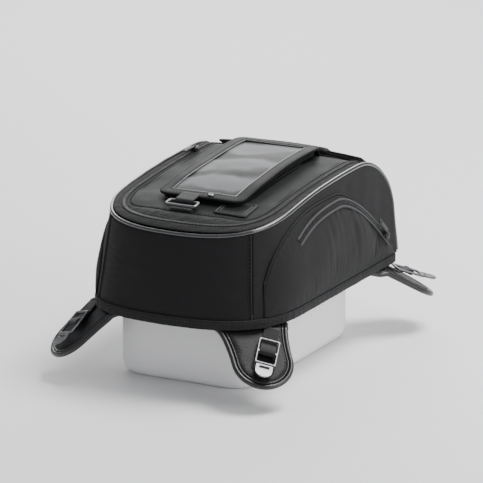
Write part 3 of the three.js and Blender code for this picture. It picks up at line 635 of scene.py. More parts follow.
def bead(length, width, height, sides=6):
    """A small rounded bead lying along its second axis: a stitch, or a zip tooth."""
    rings = 4
    t = np.linspace(-1, 1, rings + 2)[1:-1]
    swell = np.sqrt(1 - (t * 0.93) ** 2)
    turn = np.linspace(0, 2 * np.pi, sides, endpoint=False)
    points = np.stack([np.outer(swell, np.cos(turn)) * width / 2,
                       np.repeat(t[:, None] * length / 2, sides, 1),
                       np.outer(swell, np.sin(turn)) * height / 2], -1).reshape(-1, 3)
    return points, tube_faces(rings, sides)


def spaced(points, ups, pitch):
    """Frames every `pitch` mm along a line on a surface whose normals are given."""
    rail, normals = Rail(points), Rail(np.broadcast_to(np.asarray(ups, float), np.shape(points)))
    normals.run, normals.length = rail.run, rail.length
    share = (np.arange(int(rail.length / pitch)) + 0.5) * pitch / rail.length
    along, up = rail.along(share, 0.5 / rail.length), normals.at(share)
    across = unit(np.cross(along, up))
    return rail.at(share), across, along, unit(np.cross(across, along))


STITCH = {"pitch": 3.6, "length": 2.7, "width": 0.75, "height": 0.7, "sink": 0.05}


def stitches(name, lines, body):
    """Rows of stitches. Each line is (points, normals)."""
    part = bead(STITCH["length"], STITCH["width"], STITCH["height"])
    made = []
    for points, ups in lines:
        at = spaced(points, ups, STITCH["pitch"])
        made.append(scatter(part, (at[0] - at[3] * STITCH["sink"], *at[1:])))
    return make(name, *join(made), "thread", body)


# ---------------------------------------------------------------- cloth

SIM_SCALE = 0.01       # one unit of the simulation is 100 mm, where the solver's own settings suit it


def settle(points, faces, pinned, pressure, cap, grow=0.0, frames=20):
    """Where cloth points come to rest under air pressure from within. Nothing moves further than `cap` mm."""
    mesh = bpy.data.meshes.new("cloth")
    mesh.from_pydata((points * SIM_SCALE).tolist(), [], [tuple(f) for f in faces])
    cloth = link("cloth", mesh)
    modifier = cloth.modifiers.new("cloth", "CLOTH")
    s = modifier.settings
    s.quality, s.mass, s.air_damping = 5, 0.3, 3.0
    s.tension_stiffness = s.compression_stiffness = s.shear_stiffness = 18.0
    s.bending_stiffness = 0.6
    s.use_pressure, s.uniform_pressure_force = True, pressure
    s.shrink_min = -grow
    s.effector_weights.gravity = 0.0
    modifier.collision_settings.use_collision = False
    if len(pinned):
        group = cloth.vertex_groups.new(name="pin")
        group.add([int(i) for i in pinned], 1.0, "REPLACE")
        s.vertex_group_mass = "pin"
    scene = bpy.context.scene
    modifier.point_cache.frame_start, modifier.point_cache.frame_end = 1, frames
    for number in range(1, frames + 1):
        scene.frame_set(number)
    done = cloth.evaluated_get(bpy.context.evaluated_depsgraph_get()).data
    moved = np.zeros(len(points) * 3)
    done.vertices.foreach_get("co", moved)
    shift = moved.reshape(-1, 3) / SIM_SCALE - points
    reach = np.linalg.norm(shift, axis=1, keepdims=True)
    bpy.data.objects.remove(cloth)
    bpy.data.meshes.remove(mesh)
    scene.frame_set(1)
    return points + shift * np.minimum(1, cap / np.maximum(reach, 1e-9))


def settle_grid(grid, pressure, **options):
    """A sheet held along its border, with its faces turned outwards."""
    columns, rows = grid.shape[:2]
    faces, points, normals = quads(columns, rows), grid.reshape(-1, 3), grid_normals(grid).reshape(-1, 3)
    middle = faces[len(faces) // 2]
    p = points[list(middle)]
    if np.dot(np.cross(p[1] - p[0], p[2] - p[0]), normals[middle[0]]) < 0:
        faces = [f[::-1] for f in faces]
    number = np.arange(columns * rows).reshape(columns, rows)
    border = np.unique(np.concatenate([number[0], number[-1], number[:, 0], number[:, -1]]))
    return settle(points, faces, border, pressure, **options).reshape(grid.shape)


# ---------------------------------------------------------------- base

MAT = {"top": 2.1, "foot": 0.7, "inset": 2.55, "dot": 3.4, "pitch": 7.0, "margin": 8.0}
HEM_ROW_Z = 6.6


def base_mat():
    """A sheet with staggered round dots below it."""
    loop, _ = base_outline(MAT["inset"])
    sheet, faces = plate(loop[::2], MAT["top"] - MAT["foot"], 0.5)
    xs, ys = np.meshgrid(np.arange(-98, 99, MAT["pitch"]), np.arange(-146, 147, MAT["pitch"]))
    xs = xs + (np.arange(len(ys)) % 2)[:, None] * MAT["pitch"] / 2
    x, y = xs.ravel(), ys.ravel()
    inside = np.abs(x) < outline_x(np.clip(y, REAR_Y, None)) - MAT["margin"]
    inside &= (y > REAR_Y + 6) & (y < FRONT_Y - 7)
    spots = xyz(x[inside], y[inside], MAT["foot"])
    dots = scatter(bead(MAT["dot"], MAT["dot"], 2 * MAT["foot"], 8), (spots, *np.eye(3)))
    points, faces = join([(sheet + (0, 0, MAT["foot"]), faces), dots])
    make("non_slip_base", points, faces, "rubber", "shell", ["non_slip_mat"])


def base_hem():
    """The bound edge, puckered by its stitches, and the tape inside, over the joint of board and walls."""
    loop, out = base_outline()
    origin, outward = lifted(loop), lifted(out)
    pucker = (0.16 * ripple(origin, 6.0, 3) + 0.25 * ripple(origin, 30.0, 4))[:, None]
    section = rounded([(1.15, 0.4), (0.85, 9.2), (-2.1, 9.0), (-2.1, 0.4)], [1.3, 0.9, 0.3, 0.9], 5)
    sweep("bottom_binding", section, (origin + outward * pucker, outward, UP), "binding", "shell",
          ["base_binding"], loop=True)
    row = origin + outward * (1.1 + pucker) + (0, 0, HEM_ROW_Z)
    stitches("bottom_binding_stitches", [(row, outward)], "shell")

    loop, out = base_outline(TAPE_INSET)
    section = rounded([(2.6, -1.6), (2.6, 8.0), (1.4, 8.0), (-4.5, 0.6), (-4.5, -0.4), (0.5, -1.6)], 0.3, 3)
    sweep("base_seam_tape", section, (lifted(loop, BOARD_TOP_Z), lifted(out), UP), "lining", "shell",
          loop=True)


# ---------------------------------------------------------------- shell

def border_fade(grid, reach):
    """1 inside a panel, easing to 0 at its border over `reach` mm."""
    return ease(np.minimum(edge_distance(grid, 0), edge_distance(grid, 1)) / reach)


def wall_heights(y, v):
    """Heights up a wall from its foot to just under the piping."""
    foot = WALL_FOOT_Z - 1.2
    return foot + (crest(y, WALL_DROP) - foot)[:, None] * v


def corner_post(t, side, foot, drop, count=60):
    """A line up the wall at share t of the rear outline."""
    x, y = rear_outline(t) * (side, 1)
    return lean(x, y, np.linspace(WALL_FOOT_Z + foot, crest(y, drop), count))


def rear_panel():
    t = (spread(150, 230) * 2 - 1) * (SEAM_T - SEAM_GAP_T)
    flat = rear_outline(np.abs(t)) * np.stack([np.sign(t), np.ones_like(t)], -1)
    grid = lean(flat[:, :1], flat[:, 1:], wall_heights(flat[:, 1], spread(44, 80)))
    grid = settle_grid(grid, 2.0, grow=0.004, cap=1.8)
    lift = (0.35 * ripple(grid, 70, 11) + 0.10 * ripple(grid, 22, 12)) * border_fade(grid, 10)
    skin("rear_panel_skin", grid, WALL, "rear", "shell", ["rear_panel"], lift, lined=True)


def rear_corners():
    """At each rear corner: a row of stitches, a welt, and the seam allowance behind the panels' gap."""
    rows = []
    for label, side in SIDES:
        row = corner_post(SEAM_T - 0.026, side, 2, 5)
        out = unit(unit(row - (0, rear_outline(SEAM_T - 0.026)[1] * 0.25, 0)) * (1, 1, 0))
        rows.append((row + out * 0.35, out))
        welt = corner_post(SEAM_T - 0.009, side, 0, 2) + out[:1] * 0.3
        sweep(f"rear_welt_{label}", ring(0.95, 8), path_frames(welt, (0, 1, 0)), "side", "shell")
        x, y = rear_outline(SEAM_T) * (side, 1)
        inward = unit(np.array([-x, -y * 0.5, 0]))
        line = corner_post(SEAM_T, side, 0, 4, 40) + inward * 2.3
        sweep(f"rear_seam_{label}", ring(1.5, 8), path_frames(line, inward), "binding", "shell")
    stitches("rear_seam_stitches", rows, "shell")


def side_panels():
    for label, side in SIDES:
        y = SEAM_Y + (FRONT_Y - 1.5 - SEAM_Y) * spread(150, 260)
        grid = side_point(y[:, None], wall_heights(y, spread(44, 90)), 0) * (side, 1, 1)
        lift = 0.5 * ripple(grid, 60, 21 + side) + 0.15 * ripple(grid, 16, 31 + side)
        skin(f"side_panel_{label}_skin", grid, WALL, "side", "shell", [f"side_panel_{label}"],
             lift * border_fade(grid, 12), lined=True)


def front_panel():
    grid = front_point((spread(90, 180) * 2 - 1)[:, None], spread(80, 150)[None, :])
    lift = (0.4 * ripple(grid, 55, 41) + 0.12 * ripple(grid, 15, 42)) * border_fade(grid, 10)
    skin("front_panel_skin", grid, 1.8, "lid", "shell", ["front_panel"], lift, lined=True)


def piping_half():
    """The right half of the piping: up the front corner, over the rolled edge, and along the top edge."""
    face_top = CREST_Z - FRONT_DROP
    post = lean(HALF_WIDTH - PIPING_INSET, FRONT_Y, np.linspace(PIPING_FOOT_Z, face_top, 40)[:-1])
    angle = np.linspace(np.pi / 2, 0, 80)[:-1]
    y = CREST_Y + (FRONT_Y - CREST_Y) * np.sin(angle)
    turn = lean(outline_x(y) - PIPING_INSET, y, face_top + FRONT_DROP * np.cos(angle))
    top = edge_half(CREST_Y)
    pull = unit(xyz(-top[:, 0], -np.minimum(top[:, 1] - TURN_Y, 0), 0))
    return np.concatenate([post, turn, top + pull * PIPING_INSET])


def piping():
    """The piping, with the seam allowance behind it that fills the gap between the panels."""
    edge = Rail(mirrored(piping_half()))
    line = edge.at(np.linspace(0, 1, 900))
    line = line + 0.12 * unit(line - CENTRE) * ripple(line, 26, 51)[:, None]
    sweep("edge_piping", ring(PIPING_RADIUS, 14), path_frames(line, (0, 0.02, 1)), "piping", "shell",
          ["top_piping"])
    line = edge.at(np.linspace(0, 1, 500))
    line = line + unit(xyz(-line[:, 0], -line[:, 1] * 0.4, -60)) * 2.6
    sweep("seam_allowance", ring(1.6, 8), path_frames(line, UP), "binding", "shell")


# ---------------------------------------------------------------- rim, zip and lid

# Each half of the main zip: its tape's insets, its side of the line of teeth, and its first tooth.
ZIP_HALVES = (("fixed", 9.0, 12.7, -1, 0.25), ("lid", 13.3, 17.2, 1, 0.75))
PATCH = {"left": 23.0, "right": 58.0, "rear": -91.0, "front": -61.0}


def lid_blend(piece):
    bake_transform(piece)


def top_rim():
    s, v = spread(420, RIM.length), spread(7, RIM_INSET[1] - RIM_INSET[0])
    grid = rim_point(s[:, None], RIM_INSET[0] + (RIM_INSET[1] - RIM_INSET[0]) * v)
    grid[..., 2] -= (top_z(grid[..., 0], grid[..., 1]) - crest(grid[..., 1])) * (1 - v) ** 1.5
    lift = 0.25 * np.sin(np.pi * v) + 0.18 * ripple(grid, 9, 61)
    skin("top_rim_skin", grid, 1.6, "rim", "shell", ["top_rim"], lift)
    stitches("rim_stitches", [(rim_point(np.linspace(0, 1, 430), 8.1, 0.15), UP)], "shell")


def main_zip():
    count = int(RIM.length / TOOTH_PITCH)
    for label, low, high, side, first in ZIP_HALVES:
        body = "shell" if label == "fixed" else None
        half = (high - low) / 2
        origin, across, _, up = rim_frames(np.linspace(0, 1, 430), (low + high) / 2, -0.75)
        section = rounded(rect(-half, 0, half, 0.7), 0.25, 3)
        tape = sweep(f"main_zip_tape_{label}", section, (origin, across, up), "tape", body,
                     [f"main_zip_{label}_half"])
        share = (np.arange(count) + first) / count
        origin, across, along, up = rim_frames(share, ZIP_LINE + side * 0.75, 0.35)
        row = scatter(bead(2.7, 1.05, 1.3), (origin, along, across, up))
        teeth = make(f"main_zip_teeth_{label}", *row, "teeth", body)
        if body is None:
            lid_blend(tape)
            lid_blend(teeth)


def lid_rim():
    """The padded rim, wide at the rear and narrow along the sides."""
    s, v = spread(420, RIM.length), spread(13, 12)
    deep = (lid_inset(s) - LID_SEAM - LID_RIM_INSET)[:, None]
    width = deep / (LID_REAR_INSET - LID_RIM_INSET)
    grid = rim_point(s[:, None], LID_RIM_INSET + deep * v, width * np.sin(np.pi * v))
    grid = settle_grid(grid, 3.0, grow=0.02, cap=1.4)
    lift = width * (0.42 * ripple(grid, 11, 71) + 0.12 * ripple(grid, 5, 72)) * border_fade(grid, 3)
    rim = skin("lid_rim_padding", grid, 1.8, "rim", None, ["lid_rim"], lift)
    lid_blend(rim)


def lid_panel():
    """The lid's smooth panel, drawn from its rear edge to the fold and as wide as the lid at each end."""
    turn = 0.27
    share = turn + (1 - 2 * turn) * spread(110, 150)
    start = rim_point(share, lid_inset(share))
    widest, front = (rim_point(s, lid_inset(s))[0] for s in (turn, 0.0))
    v = spread(110, 230)
    x = start[:, :1] + (start[:, :1] / widest * front - start[:, :1]) * v
    y = start[:, 1:2] + (HINGE_Y - 0.02 - start[:, 1:2]) * v
    grid = on_top(x, y)
    lift = (0.45 * ripple(grid, 60, 81) + 0.12 * ripple(grid, 20, 82)) * border_fade(grid, 14)
    panel = skin("lid_panel_skin", grid, 2.4, "lid", None, ["lid_panel"], lift, lined=True)
    lid_blend(panel)


def lid_seam():
    """The stitches round the lid's panel, and the seam allowance below the gap beside it."""
    share = np.linspace(0.03, 0.97, 400)
    lid_blend(stitches("lid_seam_stitches", [(rim_point(share, lid_inset(share) + 2.6, 0.1), UP)], None))
    share = np.linspace(0, 1, 420)
    origin, across, _, up = rim_frames(share, lid_inset(share) - LID_SEAM / 2, -1.9)
    section = rounded(rect(-2.6, -0.5, 2.6, 0.5), 0.3, 3)
    lid_blend(sweep("lid_seam_allowance", section, (origin, across, up), "binding", None))


def lid_patch():
    """A blank patch with a double raised border."""
    sheet_on_lid("lid_patch_blank", PATCH, 3.0, 0.35, 1.0, "flap", "lid", ["lid_patch"])
    for number, inset, radius in ((1, 2.0, 0.55), (2, 5.0, 0.45)):
        outline = rounded(rect(PATCH["left"] + inset, PATCH["rear"] + inset,
                               PATCH["right"] - inset, PATCH["front"] - inset), 3.0)
        line = on_top(*outline.T, 1.35)
        # The ridges' pale paint is a painted highlight along the raised border.
        sweep(f"lid_patch_ridge_{number}", ring(radius, 6), path_frames(line, UP, loop=True), "ridge", "lid",
              loop=True)


def sheet_on_lid(name, place, corner, lift, thickness, paint, body, nodes=(), count=36):
    """A flat piece with rounded corners that follows the top of the bag; its underside is `lift` above it."""
    wide, long = place["right"] - place["left"], place["front"] - place["rear"]
    u, v = spread(count, wide), spread(count, long)
    y = place["rear"] + long * v
    end = np.minimum(np.minimum(y - place["rear"], place["front"] - y), corner)
    tuck = corner - np.sqrt(np.maximum(corner ** 2 - (corner - end) ** 2, 0))
    x = place["left"] + tuck + (wide - 2 * tuck) * u[:, None]
    skin(name, on_top(x, y, lift + thickness), thickness, paint, body, nodes)


# ---------------------------------------------------------------- phone flap

def flap_outline():
    """Points every 2 mm round the flap's outer edge."""
    corner, points = FLAP["corner"], []
    right, left = FLAP["right"] - corner, FLAP["left"] + corner
    front, rear = FLAP["front"] - corner, FLAP["rear"] + corner
    for quarter, centre in enumerate(((right, front), (left, front), (left, rear), (right, rear))):
        turn = np.pi / 2 * (quarter + np.linspace(0, 1, 8))
        points.append(centre + corner * np.stack([np.cos(turn), np.sin(turn)], -1))
    rail = Rail(lifted(np.concatenate(points + [points[0][:1]])))
    count = int(rail.length / 2.0)
    return rail.at(np.arange(count) / count)[:, :2]


def flap_lift(x, y):
    """How far the flap waves up from its flat shape; it lies lower at the rear."""
    side = np.clip(x / FLAP["right"], -1, 1)
    return 0.9 * np.abs(side) * np.sin((y - 20) / 31.0 + 0.8 * side) + 0.6 * side - 2.8 * ease((-30 - y) / 46)


def flap_edge():
    """Round the flap: its lower outer edge, its lift there, and the ways inward along flap and lid."""
    edge = flap_outline()
    along = unit(np.roll(edge, -1, 0) - np.roll(edge, 1, 0))
    inward = np.stack([-along[:, 1], along[:, 0]], -1)
    edge = edge + inward * 0.7 * ripple(lifted(edge), 60, 95)[:, None]
    inner = edge + inward * FLAP_BORDER
    rise = flap_lift(*edge.T)
    slope = (top_z(*inner.T) - top_z(*edge.T)) / FLAP_BORDER
    climb = slope + (flap_lift(*inner.T) - rise) / FLAP_BORDER
    return on_top(*edge.T, FLAP_LIFT + rise), rise, lifted(inward, climb), lifted(inward, slope)


def flap_frame():
    """The raised border with two rows of stitches, the weld of its window and the gathered wall under it."""
    origin, rise, across, level = flap_edge()
    top = FLAP_DEPTH
    section = rounded([(0, top - 2.7), (0, top), (FLAP_BORDER, top), (FLAP_BORDER, top - 1.0),
                       (3.2, top - 1.3), (2.8, top - 2.7)], [1.2, 1.4, 0.45, 0.4, 0.8, 1.0])
    sweep("flap_border", section, (origin, across, UP), "flap", "phone_flap", ["flap_frame"], loop=True)
    rows = [(origin + across * inset + (0, 0, top + 0.02), UP) for inset in (2.6, FLAP_BORDER - 1.7)]
    stitches("flap_border_stitches", rows, "phone_flap")
    # The weld's pale paint is a painted highlight along the edge of the window.
    weld = origin + across * (FLAP_BORDER + 0.6) + (0, 0, top - 0.75)
    sweep("window_weld_highlight", ring(0.8, 8, 0.55), (weld, across, UP), "weld", "phone_flap", loop=True)

    flat = unit(across * (1, 1, 0))
    foot = origin - xyz(0, 0, rise) + level * 4.6 + (0, 0, 1.0)
    head = origin + across * 5.4 + (0, 0, top - 1.5)
    bulge = flat * (0.7 * ripple(origin, 16, 96)[:, None] - 0.6)
    v = np.linspace(0, 1, 9)[:, None]
    wall = foot[:, None] * (1 - v) + head[:, None] * v + bulge[:, None] * np.sin(np.pi * v)
    both = np.concatenate([wall, (wall + flat[:, None] * 1.2)[:, ::-1]], 1)
    faces = tube_faces(len(both), both.shape[1], loop=True)
    make("flap_gusset", both.reshape(-1, 3), faces, "binding", "phone_flap")


def flap_sheets():
    """The back sheet, and the window film waving in its frame."""
    place = {"left": FLAP["left"] + 2.2, "right": FLAP["right"] - 2.2, "rear": FLAP["rear"] + 2.2,
             "front": FLAP["front"] - 34}
    sheet_on_lid("flap_back_sheet", place, FLAP["corner"], FLAP_LIFT - 0.4, 1.15, "flap", "phone_flap",
                 ["flap_back"], 60)
    inset = 6.0
    u, v = spread(70, 79)[:, None], spread(110, 160)
    x = FLAP["left"] + inset + (FLAP["right"] - FLAP["left"] - 2 * inset) * u
    y = FLAP["rear"] + inset + (FLAP["front"] - FLAP["rear"] - 2 * inset) * v
    grid = on_top(x, y, FLAP_LIFT + FLAP_DEPTH - 1.75 + flap_lift(x, y))
    wave = 0.55 * ripple(grid, 42, 91, (0.45, 1, 1)) + 0.2 * ripple(grid, 22, 92, (0.5, 1, 1))
    skin("window_film", grid, 0.6, "film", "phone_flap", ["flap_window"], wave * border_fade(grid, 16))


def flap_fold():
    """Fabric that joins the flap's front edge to the lid."""
    u, v = spread(60, 80)[:, None], spread(26, 18)
    x = FLAP["left"] + 6 + (FLAP["right"] - FLAP["left"] - 12) * u
    y = FLAP["front"] - 3.5 + (HINGE_Y - 1.0 - FLAP["front"] + 3.5) * v
    fall = ease(v)
    height = (FLAP_LIFT + FLAP_DEPTH - 1.3) * (1 - fall) + 0.9 * fall
    fold = skin("flap_hinge_fold", on_top(x, y, height + flap_lift(x, y) * (1 - fall)), 1.1, "flap", None)
    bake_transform(fold)


FASTENER_X, BAR_Y = -8.5, -86.0


def flap_fastener():
    """A steel ring on a webbing tab, over a strap sewn to the lid."""
    lift, wrap = FLAP_LIFT + 3.4, 2.3
    line = on_top(*rounded(rect(-24, -96, 7, BAR_Y), 3.2, 8).T, lift)
    sweep("closure_ring", ring(1.45), path_frames(line, UP, loop=True), "steel", "flap_ring", ["flap_ring"],
          loop=True)

    turn = np.linspace(0, 1.25 * np.pi, 14)
    tab = np.concatenate([on_top(FASTENER_X, np.linspace(-72, -84.5, 8), lift + wrap),
                          on_top(FASTENER_X, BAR_Y, lift) + wrap * xyz(0, -np.sin(turn), np.cos(turn))])
    sweep("closure_tab", strap_section(19.0, 1.3, 6, -0.65), path_frames(tab, (0, 0.001, 1)), "web",
          "phone_flap", ["flap_tab"])

    y = np.linspace(-78.5, -96, 24)
    strap = on_top(FASTENER_X, y, 0.35 + 0.9 * np.exp(-((y + 87) / 5.0) ** 2))
    sweep("catch_strap", strap_section(22.0, 1.6, 7), path_frames(strap, (0, 0.001, 1)), "web", "lid",
          ["flap_catch_strap"])
    x = np.linspace(-18.5, 1, 12)
    stitches("catch_strap_stitches", [(on_top(x, y, 2.1), UP) for y in (-80.5, -94.5)], "lid")


def flap_rivet():
    """A domed rivet with a hollow in its middle."""
    x, y, sides = 11.0, -70.5, 28
    profile = ((3.3, -0.2), (3.35, 0.25), (3.1, 0.7), (2.5, 1.1), (1.7, 1.35), (1.2, 1.0), (0.5, 0.9))
    centre = on_top(x, y, FLAP_LIFT + FLAP_DEPTH + 0.3 + flap_lift(x, y))
    points = np.concatenate([centre + lifted(ring(radius, sides), height) for radius, height in profile])
    make("flap_rivet_dome", points, tube_faces(len(profile), sides), "steel", "phone_flap", ["flap_rivet"])


# ---------------------------------------------------------------- zip sliders

def raised(part, height):
    return part[0] + (0, 0, height), part[1]


def slider_parts():
    """A zip slider: two plates joined by a bridge with a loop, and its puller, drawn about 0."""
    half, long = 4.25, 5.5
    shape = rounded([(-half, long), (-half, 0), (-half * 0.6, -long), (half * 0.6, -long), (half, 0),
                     (half, long)], [1.2, 1.6, 1.2, 1.2, 1.6, 1.2], 5)
    wedge = plate(rounded(rect(-1.4, -4.5, 1.4, 4.0), 0.6, 4), 1.0, 0.2)
    t = np.linspace(0, np.pi, 12)
    arch = xyz(0, -3.2 * np.cos(t), 2.7 + 1.15 * np.sin(t))
    across = (1.0, 0, 0)
    up = np.cross(across, unit(np.gradient(arch, axis=0)))
    bow = tube(ring(0.75, 8) * (1.5, 1), (arch, across, up))
    low, high = plate(shape, 1.1, 0.35), plate(shape * 0.97, 1.3, 0.5)
    body = join([low, raised(wedge, 0.9), raised(high, 1.7), bow])
    holes = [ring(1.5, 16) + (0, 21), rounded(rect(-1.5, 0.9, 1.5, 4.4), 0.5, 4)]
    tab = rounded([(-2.6, 0), (2.6, 0), (3.0, 10), (3.0, 24), (-3.0, 24), (-3.0, 10)], [1, 1, 3, 2.9, 2.9, 3])
    pad = plate(rounded(rect(-2.0, 7.5, 2.0, 17.5), 1.2, 5), 1.9, 0.4)
    return body, join([raised(plate(tab, 1.4, 0.45, holes), 3.35), raised(pad, 3.1)])


def zip_slider(name, at, body, puller_body):
    slider, puller = slider_parts()
    make(f"{name}_slider_body", seat(slider[0], at), slider[1], "lacquer", body, [f"{name}_slider"])
    make(f"{name}_puller_tab", seat(puller[0], at), puller[1], "lacquer", puller_body, [f"{name}_puller"])


def main_slider():
    origin, across, _, up = (a[0] for a in rim_frames(np.array([0.93]), ZIP_LINE))
    heading = unit(np.cross(across, up))
    zip_slider("main_zip", (origin + up * 1.5, np.cross(heading, up), heading, up), "lid", "main_zip_puller")


# ---------------------------------------------------------------- side pockets

POCKET = {"foot": 9.8, "peak": 94.0, "peak_y": 25.0, "rear": 141.0, "front": 116.0, "skin": 1.5, "puff": 7.0}
POCKET_Y = (-113.5, 138.0)
POCKET_ZIP = {"rear": -68.0, "front": 120.0, "slider": 110.0, "below": 7.0, "fall": 8.0, "fall_over": 95.0}


def arch_z(y):
    """Heights of the pocket's arched top seam."""
    y = np.asarray(y, float)
    behind = np.clip((POCKET["peak_y"] - y) / POCKET["rear"], 0, 1)
    ahead = np.clip((y - POCKET["peak_y"]) / POCKET["front"], 0, 1)
    shape = np.where(y < POCKET["peak_y"], (1 - behind ** 3.5) ** 0.4, 1 - ahead ** 1.6)
    return POCKET["foot"] + (POCKET["peak"] - POCKET["foot"]) * shape


def pocket_point(y, z, lift=0.0):
    """Points on the right pocket's puffed panel."""
    u = np.clip((y - POCKET_Y[0]) / (POCKET_Y[1] - POCKET_Y[0]), 0, 1)
    v = np.clip((z - POCKET["foot"]) / (arch_z(y) - POCKET["foot"]), 0, 1)
    bulge = np.clip(np.sin(np.pi * u) * np.sin(np.pi * v), 0, 1) ** 0.6
    return side_point(y, z, POCKET["skin"] + GAP + 0.1 + POCKET["puff"] * bulge + lift)


def pocket_zip_z(y):
    behind = np.maximum(POCKET["peak_y"] - y, 0)
    return arch_z(y) - POCKET_ZIP["below"] - POCKET_ZIP["fall"] * (behind / POCKET_ZIP["fall_over"]) ** 2


def pocket_frames(y, lift, side):
    """Frames along a pocket's zip, `lift` above its panel."""
    z = pocket_zip_z(y)
    origin = pocket_point(y, z)
    along = unit(pocket_point(y + 0.5, pocket_zip_z(y + 0.5)) - pocket_point(y - 0.5, pocket_zip_z(y - 0.5)))
    up = unit(np.cross(along, pocket_point(y, z + 1) - origin))
    up = np.where(up[..., :1] < 0, -up, up)
    return [a * (side, 1, 1) for a in (origin + up * lift, unit(np.cross(up, along)), along, up)]


def pocket_panel(label, side):
    y = POCKET_Y[0] + (POCKET_Y[1] - POCKET_Y[0]) * spread(150, 252)
    z = POCKET["foot"] + (arch_z(y) - POCKET["foot"])[:, None] * spread(56, 85)
    grid = pocket_point(y[:, None], z) * (side, 1, 1)
    folds = ripple(grid, 15, 101 + side, (0.4, 1.25, 0.28))
    height = (z - POCKET["foot"]) / (POCKET["peak"] - POCKET["foot"])
    middle = np.exp(-((y[:, None] - 35) / 48) ** 2) * np.clip(height * 1.6, 0, 1)
    lift = (0.42 * folds * middle + 0.5 * ripple(grid, 50, 111 + side)) * border_fade(grid, 14)
    grid = grid + grid_normals(grid) * lift[..., None]
    grid = settle_grid(grid, 2.5, grow=0.005, cap=2.0)
    panel = skin(f"pocket_{label}_panel", grid, POCKET["skin"], "pocket", "shell", [f"pocket_panel_{label}"])


def pocket_seam(label, side):
    """A fold of the panel lying on the side wall, with its stitches."""
    y = np.linspace(POCKET_Y[0] + 1, POCKET_Y[1] - 2, 260)
    foot = side_point(POCKET_Y[0] + 0.4, np.linspace(11, arch_z(y[0]) + 1, 30), 1.0)
    line = np.concatenate([foot, side_point(y, arch_z(y) + 1.0, 1.0)]) * (side, 1, 1)
    sweep(f"pocket_{label}_seam", ring(1.1, 8, 0.8), path_frames(line, (side, 0, 0.2)), "pocket", "shell")
    y = y[6:-6]
    row = pocket_point(y, arch_z(y) - 3.2, 0.15) * (side, 1, 1)
    stitches(f"pocket_{label}_stitches", [(row, (side, 0, 0.15))], "shell")


def pocket_zip(label, side):
    """The zip on its tape, between two welts, with its slider at the front."""
    y = np.linspace(POCKET_ZIP["rear"], POCKET_ZIP["front"], 260)
    origin, across, _, up = pocket_frames(y, 0.9, side)
    tape = rounded(rect(-4.4, -0.5, 4.4, 0.35), 0.3, 3)
    sweep(f"pocket_{label}_zip_tape", tape, (origin, across, up), "tape", "shell", [f"pocket_zip_{label}"])
    # The welts' pale paint is a painted highlight on the raised ridges.
    for name, offset in (("upper", 3.5), ("lower", -3.5)):
        line = origin + across * offset + up * 0.35
        sweep(f"pocket_{label}_zip_{name}_welt", ring(1.15, 8, 0.8), (line, across, up), "welt", "shell")
    at, rows = spaced(origin, up, TOOTH_PITCH), []
    for first, shift in ((0, -0.55), (1, 0.55)):
        spot, across, along, up = (f[first::2] for f in at)
        rows.append(scatter(bead(2.4, 1.0, 1.1), (spot + across * shift + up * 0.65, along, across, up)))
    make(f"pocket_{label}_zip_teeth", *join(rows), "teeth", "shell")

    origin, _, along, up = (a[0] for a in pocket_frames(np.array([POCKET_ZIP["slider"]]), 0.7, side))
    zip_slider(f"pocket_zip_{label}", (origin + up * 2.3, np.cross(-along, up), -along, up), "shell",
               f"pocket_zip_{label}_puller")


# ---------------------------------------------------------------- grab handle

HANDLE = {"y": 121.0, "half": 78.0, "width": 18.0, "lift": 2.9, "rise": 2.5, "grip": 40.0}


def handle_frames(half, count, drop=0.0):
    """Frames along the strap, out to `half` either side, `drop` below its line."""
    x, y = np.linspace(-half, half, count), HANDLE["y"]
    fall = float(crest(y + 1) - crest(y))
    up = unit(np.array([0, -fall, 1]))
    arch = np.cos(np.pi / 2 * np.clip(x / HANDLE["half"], -1, 1)) ** 0.8
    return on_top(x, y, HANDLE["lift"] + HANDLE["rise"] * arch) - up * drop, unit(np.array([0, 1, fall])), up


def handle_strap():
    """The strap, with a second layer sewn under it."""
    sweep("handle_webbing", strap_section(HANDLE["width"], 1.8, 6), handle_frames(HANDLE["half"] - 0.5, 160),
          "web", "handle", ["handle_strap"])
    sweep("handle_backing", strap_section(HANDLE["width"] - 1.4, 2.25), handle_frames(62, 120, 2.3), "web",
          "handle")


def handle_grip():
    """A ribbed sleeve round the middle of the strap, rounded off at its ends."""
    line, across, up = handle_frames(HANDLE["grip"], 170)
    share = np.linspace(-1, 1, len(line))
    ribs = 1 + 0.035 * np.abs(np.cos(share * np.pi * 4.5))
    ends = np.sqrt(np.clip(1 - np.abs(share) ** 24, 0, 1)) * 0.12 + 0.88
    size, middle = (ribs * ends)[:, None, None], 1.5
    section = rounded([(-10, -0.9), (10, -0.9), (9.6, 4.2), (-9.6, 4.2)], [1.4, 1.4, 2.6, 2.6])
    points = line[:, None] + across * section[:, :1] * size + up * (middle + (section[:, 1:] - middle) * size)
    faces = tube_faces(len(line), len(section))
    make("handle_grip_sleeve", points.reshape(-1, 3), faces, "grip", "handle", ["handle_grip"])


def handle_anchors():
    """Webbing patches at the ends of the strap, each with a crossed box of stitches."""
    u, v = spread(24, 20)[:, None], spread(40, 36)
    for label, side in SIDES:
        grid = front_point(side * (0.76 + 0.23 * u), 0.08 + 0.22 * v, 1.75, 3.9)
        skin(f"handle_anchor_{label}_patch", grid, 1.2, "web", "shell", [f"handle_anchor_{label}"])
        box, rows = rect(0.79 * side, 0.10, 0.965 * side, 0.28), []
        for start, end in ((0, 1), (1, 2), (2, 3), (3, 0), (0, 2), (1, 3)):
            line = np.linspace(box[start], box[end], 24)
            rows.append((front_point(*line.T, 1.85, 3.9), (0, 0.5, 0.85)))
        stitches(f"handle_anchor_{label}_stitches", rows, "shell")


# ---------------------------------------------------------------- wings and buckles

